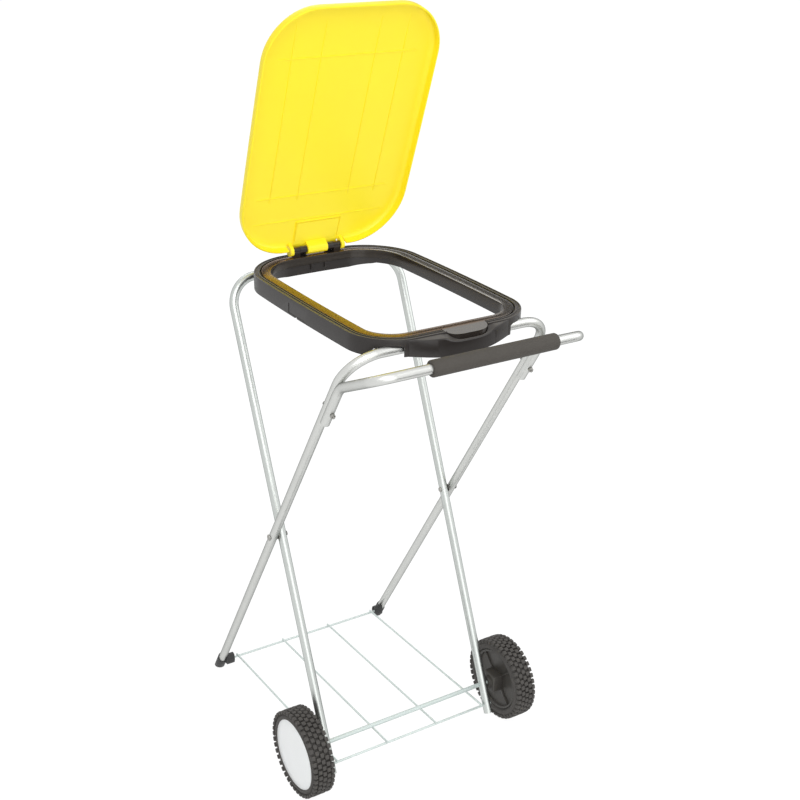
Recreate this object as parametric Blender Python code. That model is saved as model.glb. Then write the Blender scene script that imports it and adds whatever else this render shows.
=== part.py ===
"""Folding wheeled bin bag holder with a hinged lid.

Frame: +Z up, X along the wheel axle, -Y towards the handle, +Y towards the feet
and the lid hinge. The origin lies on the floor below the middle of the object.
"""
import math

import bmesh
import bpy
from mathutils import Matrix, Vector

MM = 0.001

# Fits
GAP = 0.3 * MM
ROUND_STEPS = 12
CUT_STEPS = 16
HOLE_STEPS = 8
WHEEL_STEPS = 28
BEND_STEPS = 6

# Tubes and the scissor pivot
TUBE_R = 8.0 * MM
TUBE_WALL = 1.2 * MM
PIVOT_Y = 41.2 * MM
PIVOT_Z = 433.3 * MM
FOOT_LEAN = math.radians(30.45)
WHEEL_LEAN = math.radians(24.13)
WHEEL_FRAME_X = 174.5 * MM
WASHER_T = 0.9 * MM
WASHER_R = 7.5 * MM
FOOT_FRAME_X = WHEEL_FRAME_X + 2 * TUBE_R + WASHER_T + 2 * GAP
FOOT_FRAME_REACH = 490.5 * MM
FOOT_FRAME_BEND = 59.0 * MM
WHEEL_FRAME_BEND = 52.0 * MM
RIVET_R = 3.0 * MM
RIVET_HEAD_R = 6.0 * MM
RIVET_HEAD_H = 3.0 * MM

# Wheels and axle
WHEEL_R = 80.0 * MM
TYRE_W = 40.0 * MM
WHEEL_INNER_X = 201.5 * MM
TYRE_BORE_R = WHEEL_R - 20.1 * MM
TREAD_DEPTH = 5.0 * MM
TREAD_PITCHES = 16
BEAD_R = TYRE_BORE_R + 6.1 * MM
CAP_R = TYRE_BORE_R + 5.1 * MM
AXLE_R = 4.0 * MM
AXLE_CLIP_R = 8.0 * MM
BOSS_R = 13.0 * MM
LEG_TAIL = 58.0 * MM

# Feet
CAP_WALL = 2.6 * MM
CAP_SOCKET = 26.0 * MM
TUBE_END_Z = 12.0 * MM

# Shelf of welded wire
SHELF_HINGE_Z = 42.4 * MM
SHELF_REAR_Y = 272.0 * MM
SHELF_REAR_Z = 25.0 * MM
CROSS_ROD_R = 2.25 * MM
LONG_ROD_R = 2.0 * MM
SHELF_EDGE_X = 161.5 * MM
SHELF_MIDDLE_X = 54.5 * MM
WELD_DEPTH = 0.9 * MM

# Handle
HANDLE_AHEAD = 85.6 * MM
HANDLE_BELOW = 2.1 * MM
HANDLE_CORNER = 30.0 * MM
HANDLE_ELBOW = 45.0 * MM
SADDLE_OFFSET = 8.7 * MM
ARM_LEAVES = FOOT_FRAME_REACH - 56.5 * MM
ARM_FOOT = ARM_LEAVES - 87.0 * MM
BOLT_AT = ARM_LEAVES - 57.0 * MM
BOLT_R = 2.4 * MM
BOLT_HEAD_R = 4.6 * MM
BOLT_HEAD_H = 3.0 * MM
NUT_R = 4.8 * MM
NUT_T = 4.0 * MM
GRIP_R = 13.2 * MM
GRIP_FROM = -99.0 * MM
GRIP_TO = 137.0 * MM

# Ring
RING_ABOVE_FRONT_BAR = 19.2 * MM
RING_ABOVE_BACK_BAR = 24.1 * MM
RING_H = 28.7 * MM
RING_INNER_H = 22.0 * MM
RING_HALF = 154.8 * MM
RING_SIDE_BOW = 5.8 * MM
RING_END_BOW = 1.7 * MM
RING_FRONT_CORNER = 74.6 * MM
RING_BACK_CORNER = 100.0 * MM
RING_FRONT_INSET = 14.3 * MM
RING_BACK_INSET = 11.8 * MM
RING_WALL = 2.4 * MM
LAND_W = 10.2 * MM
DECK_DROP = 5.0 * MM
BAND_W = 26.8 * MM
ARCH_TOP = 10.3 * MM
SADDLE_WEBS = (-88.0 * MM, -40.0 * MM, 40.0 * MM, 88.0 * MM)
CLIP_WEBS = (-75.0 * MM, -14.0 * MM, 14.0 * MM, 75.0 * MM)
CLIP_LENGTH = 4.0 * MM
WEB_T = 4.0 * MM
CLAMP_SKIRT = 16.0 * MM
CLAMP_W = 29.4 * MM

# Apron and thumb tab at the front of the ring
APRON_HALF = 93.0 * MM
APRON_REACH = 17.5 * MM
APRON_DROP = 2.0 * MM
APRON_WALL = 2.6 * MM
TAB_X = 8.5 * MM
TAB_HALF = 40.0 * MM
TAB_REACH = 12.0 * MM
TAB_T = 11.0 * MM
TAB_SLOPE = 0.1
POCKET_DEPTH = 16.0 * MM

# Lid and its hinge
HINGE_UP = 10.1 * MM
HINGE_FROM_BACK = 13.7 * MM
KNUCKLE_R = 6.4 * MM
PIN_R = 2.0 * MM
PIN_HALF = 57.5 * MM
RING_KNUCKLE = (20.5 * MM, 34.2 * MM)
CLAMP_KNUCKLE = (34.6 * MM, 48.4 * MM)
LID_KNUCKLES = ((-55.4 * MM, -48.8 * MM), (-20.1 * MM, 20.1 * MM), (48.8 * MM, 55.4 * MM))
TONGUE_HALF = 68.0 * MM
LID_OVERHANG = 14.9 * MM
LID_HALF = RING_HALF + LID_OVERHANG
LID_NEAR = 5.4 * MM
LID_NEAR_CORNER = 108.0 * MM
LID_FAR_CORNER = 94.5 * MM
LID_BELOW = 8.0 * MM
LID_ABOVE = 11.5 * MM
LID_WALL = 2.4 * MM
LID_OPEN = math.radians(71.1)
LID_RIB_SHARES = (-0.64, -0.31, 0.31, 0.64)
LID_CROSS_SHARES = (0.24, 0.8)
LID_RIB_W = 2.0 * MM
LID_RIB_H = 1.0 * MM

SIDES = (("left", -1), ("right", 1))


def foot_leg(distance, offset=0.0):
    """Y and Z on the foot frame's leg, a distance up from the pivot, offset towards its upper side."""
    sin, cos = math.sin(FOOT_LEAN), math.cos(FOOT_LEAN)
    return PIVOT_Y - distance * sin + offset * cos, PIVOT_Z + distance * cos + offset * sin


def wheel_leg_at(height):
    """Y of the wheel frame's leg at a height."""
    return PIVOT_Y + (height - PIVOT_Z) * math.tan(WHEEL_LEAN)


# Places that follow from the sizes above
FRONT_BAR_Y, FRONT_BAR_Z = foot_leg(FOOT_FRAME_REACH)
RING_TOP = FRONT_BAR_Z + RING_ABOVE_FRONT_BAR
BACK_BAR_Z = RING_TOP - RING_ABOVE_BACK_BAR
BACK_BAR_Y = wheel_leg_at(BACK_BAR_Z)
WHEEL_FRAME_REACH = (BACK_BAR_Z - PIVOT_Z) / math.cos(WHEEL_LEAN)
HANDLE_Y = FRONT_BAR_Y - HANDLE_AHEAD
HANDLE_Z = FRONT_BAR_Z - HANDLE_BELOW
RING_FRONT = FRONT_BAR_Y - RING_FRONT_INSET
RING_BACK = BACK_BAR_Y + RING_BACK_INSET
HINGE_Y = RING_BACK - HINGE_FROM_BACK
HINGE_Z = RING_TOP + HINGE_UP
LID_FAR = HINGE_Y - RING_FRONT + LID_OVERHANG - 5.1 * MM
AXLE_Y = wheel_leg_at(WHEEL_R)
SHELF_HINGE_Y = wheel_leg_at(SHELF_HINGE_Z)


def material(name, colour, roughness, metallic=0.0):
    made = bpy.data.materials.new(name)
    made.use_nodes = True
    shader = made.node_tree.nodes["Principled BSDF"]
    shader.inputs["Base Color"].default_value = (*colour, 1.0)
    shader.inputs["Roughness"].default_value = roughness
    shader.inputs["Metallic"].default_value = metallic
    made.diffuse_color = (*colour, 1.0)
    return made


def add_object(name, mesh, finish, parent=None, place=(0, 0, 0)):
    """An object from a bmesh built in its parent's frame, or in the world's where it has none."""
    bmesh.ops.recalc_face_normals(mesh, faces=mesh.faces)
    data = bpy.data.meshes.new(name)
    mesh.to_mesh(data)
    mesh.free()
    data.shade_smooth()
    data.set_sharp_from_angle(angle=math.radians(32))
    data.materials.append(finish)
    made = bpy.data.objects.new(name, data)
    made.location = place
    bpy.context.collection.objects.link(made)
    if parent:
        made.parent = parent
        made.location = Vector(place) - parent.matrix_world.translation
    return made


def joint_axis(name, y, z, x=0.0, parent=None):
    """An empty on a joint's axis, which carries the pieces that turn about it."""
    made = bpy.data.objects.new(name, None)
    made.empty_display_size = 0.05
    place = Vector((x, y, z))
    if parent:
        made.parent = parent
        place -= parent.matrix_world.translation
    made.location = place
    bpy.context.collection.objects.link(made)
    bpy.context.view_layer.update()
    return made


def boolean(target, mesh, operation, finish):
    """Joins a bmesh to a piece or cuts it away, and keeps the cutter as a hidden guide."""
    count = len(target.modifiers)
    guide = add_object("guide_%s_%d" % (target.name, count), mesh, finish)
    bpy.context.view_layer.update()
    guide.parent = target
    guide.matrix_parent_inverse = target.matrix_world.inverted()
    guide.hide_render = True
    guide.display_type = "WIRE"
    step = target.modifiers.new("step_%d" % count, "BOOLEAN")
    step.operation = operation
    step.object = guide
    bpy.context.view_layer.update()


def bridge(mesh, first, second):
    """Quads between two closed rows of vertices."""
    for index in range(len(first)):
        after = (index + 1) % len(first)
        mesh.faces.new((first[index], first[after], second[after], second[index]))


def fillet_path(corners, radii, steps=BEND_STEPS):
    """A polyline with an arc of its own radius at each inner corner."""
    points = [Vector(corners[0])]
    for before, corner, after, radius in zip(corners, corners[1:], corners[2:], radii):
        corner = Vector(corner)
        back = (Vector(before) - corner).normalized()
        ahead = (Vector(after) - corner).normalized()
        half = back.angle(ahead) / 2
        middle = corner + (back + ahead).normalized() * radius / math.sin(half)
        start = corner + back * radius / math.tan(half) - middle
        turn = math.pi - 2 * half
        axis = back.cross(ahead)
        for step in range(steps + 1):
            points.append(middle + Matrix.Rotation(-turn * step / steps, 3, axis) @ start)
    points.append(Vector(corners[-1]))
    return points


def sweep(mesh, path, radius, steps=ROUND_STEPS, bore=0.0):
    """A round bar, or with a bore a tube, along a path."""
    tangents = []
    for index in range(len(path)):
        before = path[max(index - 1, 0)]
        after = path[min(index + 1, len(path) - 1)]
        first = (path[index] - before).normalized()
        second = (after - path[index]).normalized()
        tangents.append((first + second).normalized())
    side = tangents[0].orthogonal().normalized()
    rows = []
    for point, tangent in zip(path, tangents):
        side = (side - tangent * side.dot(tangent)).normalized()
        other = tangent.cross(side)
        pair = []
        for size in (radius, bore):
            if not size:
                continue
            row = []
            for step in range(steps):
                angle = 2 * math.pi * step / steps
                row.append(mesh.verts.new(point + (side * math.cos(angle) + other * math.sin(angle)) * size))
            pair.append(row)
        rows.append(pair)
    for first, second in zip(rows, rows[1:]):
        for before, after in zip(first, second):
            bridge(mesh, before, after)
    for end in (rows[0], rows[-1]):
        if bore:
            bridge(mesh, end[0], end[1])
        else:
            mesh.faces.new(end[0])


def rod(mesh, start, end, radius, steps=ROUND_STEPS):
    sweep(mesh, [Vector(start), Vector(end)], radius, steps)


def cross_rod(mesh, x0, x1, y, z, radius, steps=ROUND_STEPS):
    rod(mesh, (x0, y, z), (x1, y, z), radius, steps)


def box(mesh, x_range, y_range, z_range):
    corners = [[mesh.verts.new((x, y, z)) for x, y in
                ((x_range[0], y_range[0]), (x_range[1], y_range[0]), (x_range[1], y_range[1]),
                 (x_range[0], y_range[1]))] for z in z_range]
    bridge(mesh, corners[0], corners[1])
    mesh.faces.new(corners[0])
    mesh.faces.new(corners[1])


def prism(mesh, outline, x_range):
    """A Y-Z outline extruded along X."""
    rows = [[mesh.verts.new((x, y, z)) for y, z in outline] for x in x_range]
    bridge(mesh, rows[0], rows[1])
    mesh.faces.new(rows[0])
    mesh.faces.new(rows[1])


def turned(mesh, profile, place, axis, steps):
    """A closed profile of radius and height turned about an axis; a radius of 0 closes on the axis."""
    turn = Vector((0, 0, 1)).rotation_difference(Vector(axis)).to_matrix()
    rows = []
    for radius, height in profile:
        count = steps if radius else 1
        row = []
        for step in range(count):
            angle = 2 * math.pi * step / steps
            spot = Vector((radius * math.cos(angle), radius * math.sin(angle), height))
            row.append(mesh.verts.new(Vector(place) + turn @ spot))
        rows.append(row)
    pairs = list(zip(rows, rows[1:] + rows[:1]))
    for first, second in pairs:
        if len(first) == 1 and len(second) == 1:
            continue
        if len(first) > 1 and len(second) > 1:
            bridge(mesh, first, second)
            continue
        tip, row = (first, second) if len(first) == 1 else (second, first)
        for index in range(steps):
            mesh.faces.new((tip[0], row[index], row[(index + 1) % steps]))


def soft_rectangle(half, front, back, front_corner, back_corner, inset, bows, steps=7):
    """Outline with round corners and slightly bowed sides, inset all round, counter-clockwise."""
    side_bow, end_bow = bows
    half, front, back = half - inset, front + inset, back - inset
    front_r, back_r = front_corner - inset, back_corner - inset
    middle, depth = (front + back) / 2, (back - front) / 2
    corners = ((half - back_r, back - back_r, back_r, 0), (-half + back_r, back - back_r, back_r, 90),
               (-half + front_r, front + front_r, front_r, 180),
               (half - front_r, front + front_r, front_r, 270))
    points = []
    for index, (x, y, radius, start) in enumerate(corners):
        for step in range(steps + 1):
            angle = math.radians(start + 90 * step / steps)
            points.append((x + radius * math.cos(angle), y + radius * math.sin(angle)))
        after = corners[(index + 1) % 4]
        angle = math.radians(after[3])
        end = (after[0] + after[2] * math.cos(angle), after[1] + after[2] * math.sin(angle))
        last = points[-1]
        extra = 4 if index in (1, 3) else 2
        for step in range(1, extra):
            share = step / extra
            points.append((last[0] + (end[0] - last[0]) * share, last[1] + (end[1] - last[1]) * share))
    bowed = []
    for x, y in points:
        across, along = x / half, (y - middle) / depth
        bowed.append((x + side_bow * (1 - along * along) * across,
                      y + end_bow * (1 - across * across) * along))
    return bowed


def ring_outline(inset):
    return soft_rectangle(RING_HALF, RING_FRONT, RING_BACK, RING_FRONT_CORNER, RING_BACK_CORNER, inset,
                          (RING_SIDE_BOW, RING_END_BOW))


def loop_solid(mesh, section, outline):
    """A ring whose closed section of inset and height runs round an outline."""
    rows = [[mesh.verts.new((x, y, height)) for x, y in outline(inset)] for inset, height in section]
    for first, second in zip(rows, rows[1:] + rows[:1]):
        bridge(mesh, first, second)


def corner_point(side, back, inset, angle):
    """A point in a corner of the ring: the angle runs from the ring's end towards its side."""
    radius = (RING_BACK_CORNER if back else RING_FRONT_CORNER) - inset
    half, front, rear = RING_HALF - inset, RING_FRONT + inset, RING_BACK - inset
    middle, depth = (front + rear) / 2, (rear - front) / 2
    x = half - radius + radius * math.sin(angle)
    y = rear - radius + radius * math.cos(angle) if back else front + radius - radius * math.cos(angle)
    along, across = (y - middle) / depth, x / half
    return (side * (x + RING_SIDE_BOW * (1 - along * along) * across),
            y + RING_END_BOW * (1 - across * across) * along)


def corner_arch(mesh, side, back, angles, insets, top, shoulder, steps=6):
    """A cutter that follows a corner of the ring, with a rounded top edge at both ends."""
    bottom = RING_TOP - 2 * RING_H
    rows = []
    for step in range(steps + 1):
        share = step / steps
        angle = angles[0] + (angles[1] - angles[0]) * share
        ease = abs(2 * share - 1) ** 4
        height = RING_TOP - top - shoulder * (ease + share * share) / 2
        outer = corner_point(side, back, insets[0], angle)
        inner = corner_point(side, back, insets[1], angle)
        rows.append([mesh.verts.new((x, y, z)) for (x, y), z in
                     ((outer, bottom), (inner, bottom), (inner, height), (outer, height))])
    for first, second in zip(rows, rows[1:]):
        bridge(mesh, first, second)
    mesh.faces.new(rows[0])
    mesh.faces.new(rows[-1])


def u_frame_path(half, lean, reach, bend, tail):
    """Centre line of a U tube in its leaning plane; lean is positive towards +Y."""
    def spot(x, distance):
        return Vector((x, PIVOT_Y + distance * math.sin(lean), PIVOT_Z + distance * math.cos(lean)))
    corners = [spot(-half, -tail), spot(-half, reach), spot(half, reach), spot(half, -tail)]
    return fillet_path(corners, [bend, bend])


def build_foot_frame(steel):
    tail = (PIVOT_Z - TUBE_END_Z) / math.cos(FOOT_LEAN)
    mesh = bmesh.new()
    path = u_frame_path(FOOT_FRAME_X, -FOOT_LEAN, FOOT_FRAME_REACH, FOOT_FRAME_BEND, tail)
    sweep(mesh, path, TUBE_R, bore=TUBE_R - TUBE_WALL)
    frame = add_object("foot_frame", mesh, steel)
    holes = bmesh.new()
    for _, side in SIDES:
        inside, outside = FOOT_FRAME_X - 2 * TUBE_R, FOOT_FRAME_X + 2 * TUBE_R
        cross_rod(holes, side * inside, side * outside, PIVOT_Y, PIVOT_Z, RIVET_R + GAP, HOLE_STEPS)
        top, low = foot_leg(BOLT_AT, 2 * TUBE_R), foot_leg(BOLT_AT, -2 * TUBE_R)
        rod(holes, (side * FOOT_FRAME_X, *low), (side * FOOT_FRAME_X, *top), BOLT_R + GAP, HOLE_STEPS)
    boolean(frame, holes, "DIFFERENCE", steel)
    return frame


def build_wheel_frame(steel, parent):
    tail = (PIVOT_Z - WHEEL_R) / math.cos(WHEEL_LEAN) + LEG_TAIL
    mesh = bmesh.new()
    path = u_frame_path(WHEEL_FRAME_X, WHEEL_LEAN, WHEEL_FRAME_REACH, WHEEL_FRAME_BEND, tail)
    sweep(mesh, path, TUBE_R, bore=TUBE_R - TUBE_WALL)
    frame = add_object("wheel_frame", mesh, steel, parent)
    holes = bmesh.new()
    for _, side in SIDES:
        inside, outside = side * (WHEEL_FRAME_X - 2 * TUBE_R), side * (WHEEL_FRAME_X + 2 * TUBE_R)
        cross_rod(holes, inside, outside, PIVOT_Y, PIVOT_Z, RIVET_R + GAP, HOLE_STEPS)
        cross_rod(holes, inside, outside, AXLE_Y, WHEEL_R, AXLE_R + GAP, 10)
        cross_rod(holes, inside, outside, SHELF_HINGE_Y, SHELF_HINGE_Z, CROSS_ROD_R + GAP, HOLE_STEPS)
    boolean(frame, holes, "DIFFERENCE", steel)
    return frame


def build_pivots(steel):
    """One dome-headed rivet a side through both legs, with a washer between them."""
    head = FOOT_FRAME_X + TUBE_R + GAP
    tail = WHEEL_FRAME_X - TUBE_R - GAP
    for name, side in SIDES:
        profile = [(0, head + RIVET_HEAD_H), (RIVET_HEAD_R * 0.6, head + RIVET_HEAD_H * 0.8),
                   (RIVET_HEAD_R, head + RIVET_HEAD_H * 0.25), (RIVET_HEAD_R, head), (RIVET_R, head),
                   (RIVET_R, tail), (RIVET_HEAD_R * 0.8, tail), (RIVET_HEAD_R * 0.7, tail - 1.5 * MM),
                   (0, tail - 2 * MM)]
        mesh = bmesh.new()
        turned(mesh, profile, (0, PIVOT_Y, PIVOT_Z), (side, 0, 0), 12)
        add_object("pivot_rivet_" + name, mesh, steel)
        start = WHEEL_FRAME_X + TUBE_R + GAP
        ring = [(RIVET_R + GAP, start), (WASHER_R, start), (WASHER_R, start + WASHER_T),
                (RIVET_R + GAP, start + WASHER_T)]
        mesh = bmesh.new()
        turned(mesh, ring, (0, PIVOT_Y, PIVOT_Z), (side, 0, 0), 12)
        add_object("pivot_washer_" + name, mesh, steel)


def build_foot_caps(plastic):
    """Cap on each rear leg end, flat on the floor, with a lobe that cradles the shelf's rear rod."""
    outer = TUBE_R + GAP + CAP_WALL
    bottom = PIVOT_Z / math.cos(FOOT_LEAN)
    tube_end = (PIVOT_Z - TUBE_END_Z) / math.cos(FOOT_LEAN)
    up = Vector((0, -math.sin(FOOT_LEAN), math.cos(FOOT_LEAN)))
    upper = Vector((0, math.cos(FOOT_LEAN), math.sin(FOOT_LEAN)))
    rear, height = SHELF_REAR_Y, SHELF_REAR_Z
    for name, side in SIDES:
        mesh = bmesh.new()
        rows = []
        for radius, level in ((outer - 1.2 * MM, 0.0), (outer, 1.6 * MM), (outer, None)):
            row = []
            for step in range(20):
                angle = 2 * math.pi * step / 20
                around = Vector((side * math.cos(angle) * radius, 0, 0)) + upper * math.sin(angle) * radius
                centre = Vector((side * FOOT_FRAME_X, *foot_leg(-bottom)))
                if level is None:
                    scallop = 5.0 * MM * math.sin(angle)
                    spot = centre + around + up * (CAP_SOCKET + 8 * MM + scallop)
                else:
                    spot = centre + around
                    spot += up * (level - spot.z) / up.z
                row.append(mesh.verts.new(spot))
            rows.append(row)
        bridge(mesh, rows[0], rows[1])
        bridge(mesh, rows[1], rows[2])
        mesh.faces.new(rows[0])
        mesh.faces.new(rows[2])
        cap = add_object("foot_cap_" + name, mesh, plastic)
        lobe = bmesh.new()
        outline = [(rear - 8 * MM, height - 12 * MM), (rear + 9 * MM, height - 14 * MM),
                   (rear + 15 * MM, height - 9 * MM), (rear + 11 * MM, height + 9 * MM),
                   (rear + 2 * MM, height + 17 * MM), (rear - 6 * MM, height + 16 * MM),
                   (rear - 9 * MM, height + 2 * MM)]
        prism(lobe, outline, (side * (SHELF_EDGE_X + 7 * MM), side * (FOOT_FRAME_X - 4 * MM)))
        boolean(cap, lobe, "UNION", plastic)
        cuts = bmesh.new()
        start = Vector((side * FOOT_FRAME_X, *foot_leg(-tube_end - GAP)))
        rod(cuts, start, start + up * 60 * MM, TUBE_R + GAP, CUT_STEPS)
        boolean(cap, cuts, "DIFFERENCE", plastic)
        slot = bmesh.new()
        seat, lift = CROSS_ROD_R + GAP, Vector((0.54, 0.842))
        across = Vector((lift.y, -lift.x))
        outline = []
        for step in range(7):
            angle = math.pi + math.pi * step / 6
            spot = across * math.cos(angle) * seat + lift * math.sin(angle) * seat
            outline.append((rear + spot.x, height + spot.y))
        for sign, reach in ((1, 34), (-1, 34)):
            spot = across * sign * seat * 1.9 + lift * reach * MM
            outline.append((rear + spot.x, height + spot.y))
        slot_end = FOOT_FRAME_X - TUBE_R - GAP - CAP_WALL + 0.4 * MM
        prism(slot, outline, (side * (SHELF_EDGE_X - 2 * MM), side * slot_end))
        boolean(cap, slot, "DIFFERENCE", plastic)


def build_handle(steel, foam):
    """U tube whose ends are pressed into saddles that hug the lower side of the foot frame's legs."""
    low = foot_leg(ARM_FOOT, -SADDLE_OFFSET)
    elbow = foot_leg(ARM_LEAVES, -SADDLE_OFFSET)
    corners = [(-FOOT_FRAME_X, *low), (-FOOT_FRAME_X, *elbow), (-FOOT_FRAME_X, HANDLE_Y, HANDLE_Z),
               (FOOT_FRAME_X, HANDLE_Y, HANDLE_Z), (FOOT_FRAME_X, *elbow), (FOOT_FRAME_X, *low)]
    mesh = bmesh.new()
    sweep(mesh, fillet_path(corners, [HANDLE_ELBOW, HANDLE_CORNER, HANDLE_CORNER, HANDLE_ELBOW], 5), TUBE_R)
    handle = add_object("handle_tube", mesh, steel)
    cuts = bmesh.new()
    path = u_frame_path(FOOT_FRAME_X, -FOOT_LEAN, FOOT_FRAME_REACH, FOOT_FRAME_BEND, -ARM_FOOT + 20 * MM)
    sweep(cuts, path, TUBE_R + GAP, CUT_STEPS)
    boolean(handle, cuts, "DIFFERENCE", steel)
    holes = bmesh.new()
    for _, side in SIDES:
        start, end = foot_leg(BOLT_AT, 0), foot_leg(BOLT_AT, -3 * TUBE_R)
        rod(holes, (side * FOOT_FRAME_X, *start), (side * FOOT_FRAME_X, *end), BOLT_R + GAP, HOLE_STEPS)
    boolean(handle, holes, "DIFFERENCE", steel)
    mesh = bmesh.new()
    round_edge = 2.5 * MM
    profile = [(TUBE_R + GAP, GRIP_FROM), (GRIP_R - round_edge, GRIP_FROM), (GRIP_R, GRIP_FROM + round_edge),
               (GRIP_R, GRIP_TO - round_edge), (GRIP_R - round_edge, GRIP_TO), (TUBE_R + GAP, GRIP_TO)]
    turned(mesh, profile, (0, HANDLE_Y, HANDLE_Z), (1, 0, 0), CUT_STEPS)
    add_object("handle_grip", mesh, foam)


def build_handle_fasteners(steel):
    """A dome-headed bolt and a hexagon nut hold each arm of the handle."""
    upward = Vector((0, math.cos(FOOT_LEAN), math.sin(FOOT_LEAN)))
    arm_face = SADDLE_OFFSET + TUBE_R + GAP
    head = TUBE_R + GAP
    for name, side in SIDES:
        centre = Vector((side * FOOT_FRAME_X, *foot_leg(BOLT_AT)))
        tip = -arm_face - NUT_T - 2 * MM
        profile = [(0, head + BOLT_HEAD_H), (BOLT_HEAD_R * 0.6, head + BOLT_HEAD_H * 0.8),
                   (BOLT_HEAD_R, head + 1 * MM), (BOLT_HEAD_R, head), (BOLT_R, head), (BOLT_R, tip), (0, tip)]
        mesh = bmesh.new()
        turned(mesh, profile, centre, upward, 12)
        add_object("handle_bolt_" + name, mesh, steel)
        mesh = bmesh.new()
        rows = []
        for radius, depth in ((BOLT_R + GAP, -arm_face), (NUT_R, -arm_face), (NUT_R, -arm_face - NUT_T),
                              (BOLT_R + GAP, -arm_face - NUT_T)):
            rows.append((radius, depth))
        turned(mesh, rows, centre, upward, 6)
        nut = add_object("handle_nut_" + name, mesh, steel)
        bore = bmesh.new()
        rod(bore, centre, centre - upward * 5 * TUBE_R, BOLT_R + GAP, HOLE_STEPS)
        boolean(nut, bore, "DIFFERENCE", steel)


def lug_radius(row, station):
    """Tread height: shoulder lugs stand where the middle rows have their grooves."""
    phase = station % 4
    raised = phase in (0, 1) if row == "shoulder" else phase in (2, 3)
    return WHEEL_R if raised else WHEEL_R - TREAD_DEPTH


def build_wheel(name, side, rubber, plastic, white, parent):
    centre = (0, AXLE_Y, WHEEL_R)
    inner = WHEEL_INNER_X
    mesh = bmesh.new()
    bead, shoulder = BEAD_R, 1.2 * MM
    stations = TREAD_PITCHES * 4
    rows = []
    outer_face = TYRE_W - 4 * MM
    for station in range(stations):
        angle = 2 * math.pi * (station + 0.25 * (station % 2)) / stations
        edge, middle = lug_radius("shoulder", station), lug_radius("middle", station)
        profile = [(TYRE_BORE_R, 4 * MM), (bead, 0.0), (edge - shoulder, 4 * MM), (edge, 12.5 * MM),
                   (middle, 13.5 * MM), (middle, 26.5 * MM), (edge, 27.5 * MM), (edge - shoulder, 36 * MM),
                   (bead + 2 * MM, TYRE_W), (bead, outer_face), (TYRE_BORE_R, outer_face)]
        row = []
        for radius, depth in profile:
            row.append(mesh.verts.new((side * (inner + depth), AXLE_Y + radius * math.cos(angle),
                                       WHEEL_R + radius * math.sin(angle))))
        rows.append(row)
    for first, second in zip(rows, rows[1:] + rows[:1]):
        bridge(mesh, first, second)
    add_object("tyre_" + name, mesh, rubber, parent)

    boss_start = WHEEL_FRAME_X + TUBE_R + 1.2 * MM
    rim_r = TYRE_BORE_R - GAP
    profile = [(AXLE_R + GAP, boss_start), (BOSS_R - 1 * MM, boss_start), (BOSS_R, inner + 25 * MM),
               (rim_r - 6 * MM, inner + 26 * MM), (rim_r - 3 * MM, inner + 3 * MM), (rim_r, inner + 3 * MM),
               (rim_r, inner + 34 * MM), (rim_r - 6 * MM, inner + 34 * MM), (rim_r - 8 * MM, inner + 30 * MM),
               (AXLE_R + GAP, inner + 30 * MM)]
    mesh = bmesh.new()
    turned(mesh, profile, centre, (side, 0, 0), WHEEL_STEPS)
    rim = add_object("wheel_rim_" + name, mesh, plastic, parent)
    ribs = bmesh.new()
    for index in range(6):
        turn = Matrix.Rotation(math.pi * index / 3, 4, "X")
        start = len(ribs.verts)
        x_range = sorted((side * (inner + 12 * MM), side * (inner + 28 * MM)))
        box(ribs, x_range, (-1.2 * MM, 1.2 * MM), (BOSS_R - 2 * MM, rim_r - 2.5 * MM))
        ribs.verts.ensure_lookup_table()
        for vertex in ribs.verts[start:]:
            vertex.co = turn @ vertex.co + Vector(centre)
    boolean(rim, ribs, "UNION", plastic)

    face = inner + outer_face + GAP
    profile = [(0, face + 3.6 * MM), (CAP_R * 0.7, face + 3.1 * MM), (CAP_R - 1.2 * MM, face + 1.9 * MM),
               (CAP_R, face), (rim_r - 8.3 * MM, face), (rim_r - 8.6 * MM, face - 3.4 * MM),
               (rim_r - 10 * MM, face - 3.4 * MM), (rim_r - 10 * MM, face + 1.2 * MM), (0, face + 1.4 * MM)]
    mesh = bmesh.new()
    turned(mesh, profile, centre, (side, 0, 0), WHEEL_STEPS)
    add_object("hub_cap_" + name, mesh, white, parent)

    start = inner + 30 * MM + GAP
    ring = [(AXLE_R + GAP / 2, start), (AXLE_CLIP_R, start), (AXLE_CLIP_R * 0.7, start + 1.6 * MM),
            (AXLE_R + GAP / 2, start + 1.6 * MM)]
    return ring, centre


def build_axle(steel, parent):
    mesh = bmesh.new()
    end = WHEEL_INNER_X + 34 * MM
    cross_rod(mesh, -end, end, AXLE_Y, WHEEL_R, AXLE_R, 14)
    add_object("axle", mesh, steel, parent)


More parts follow.
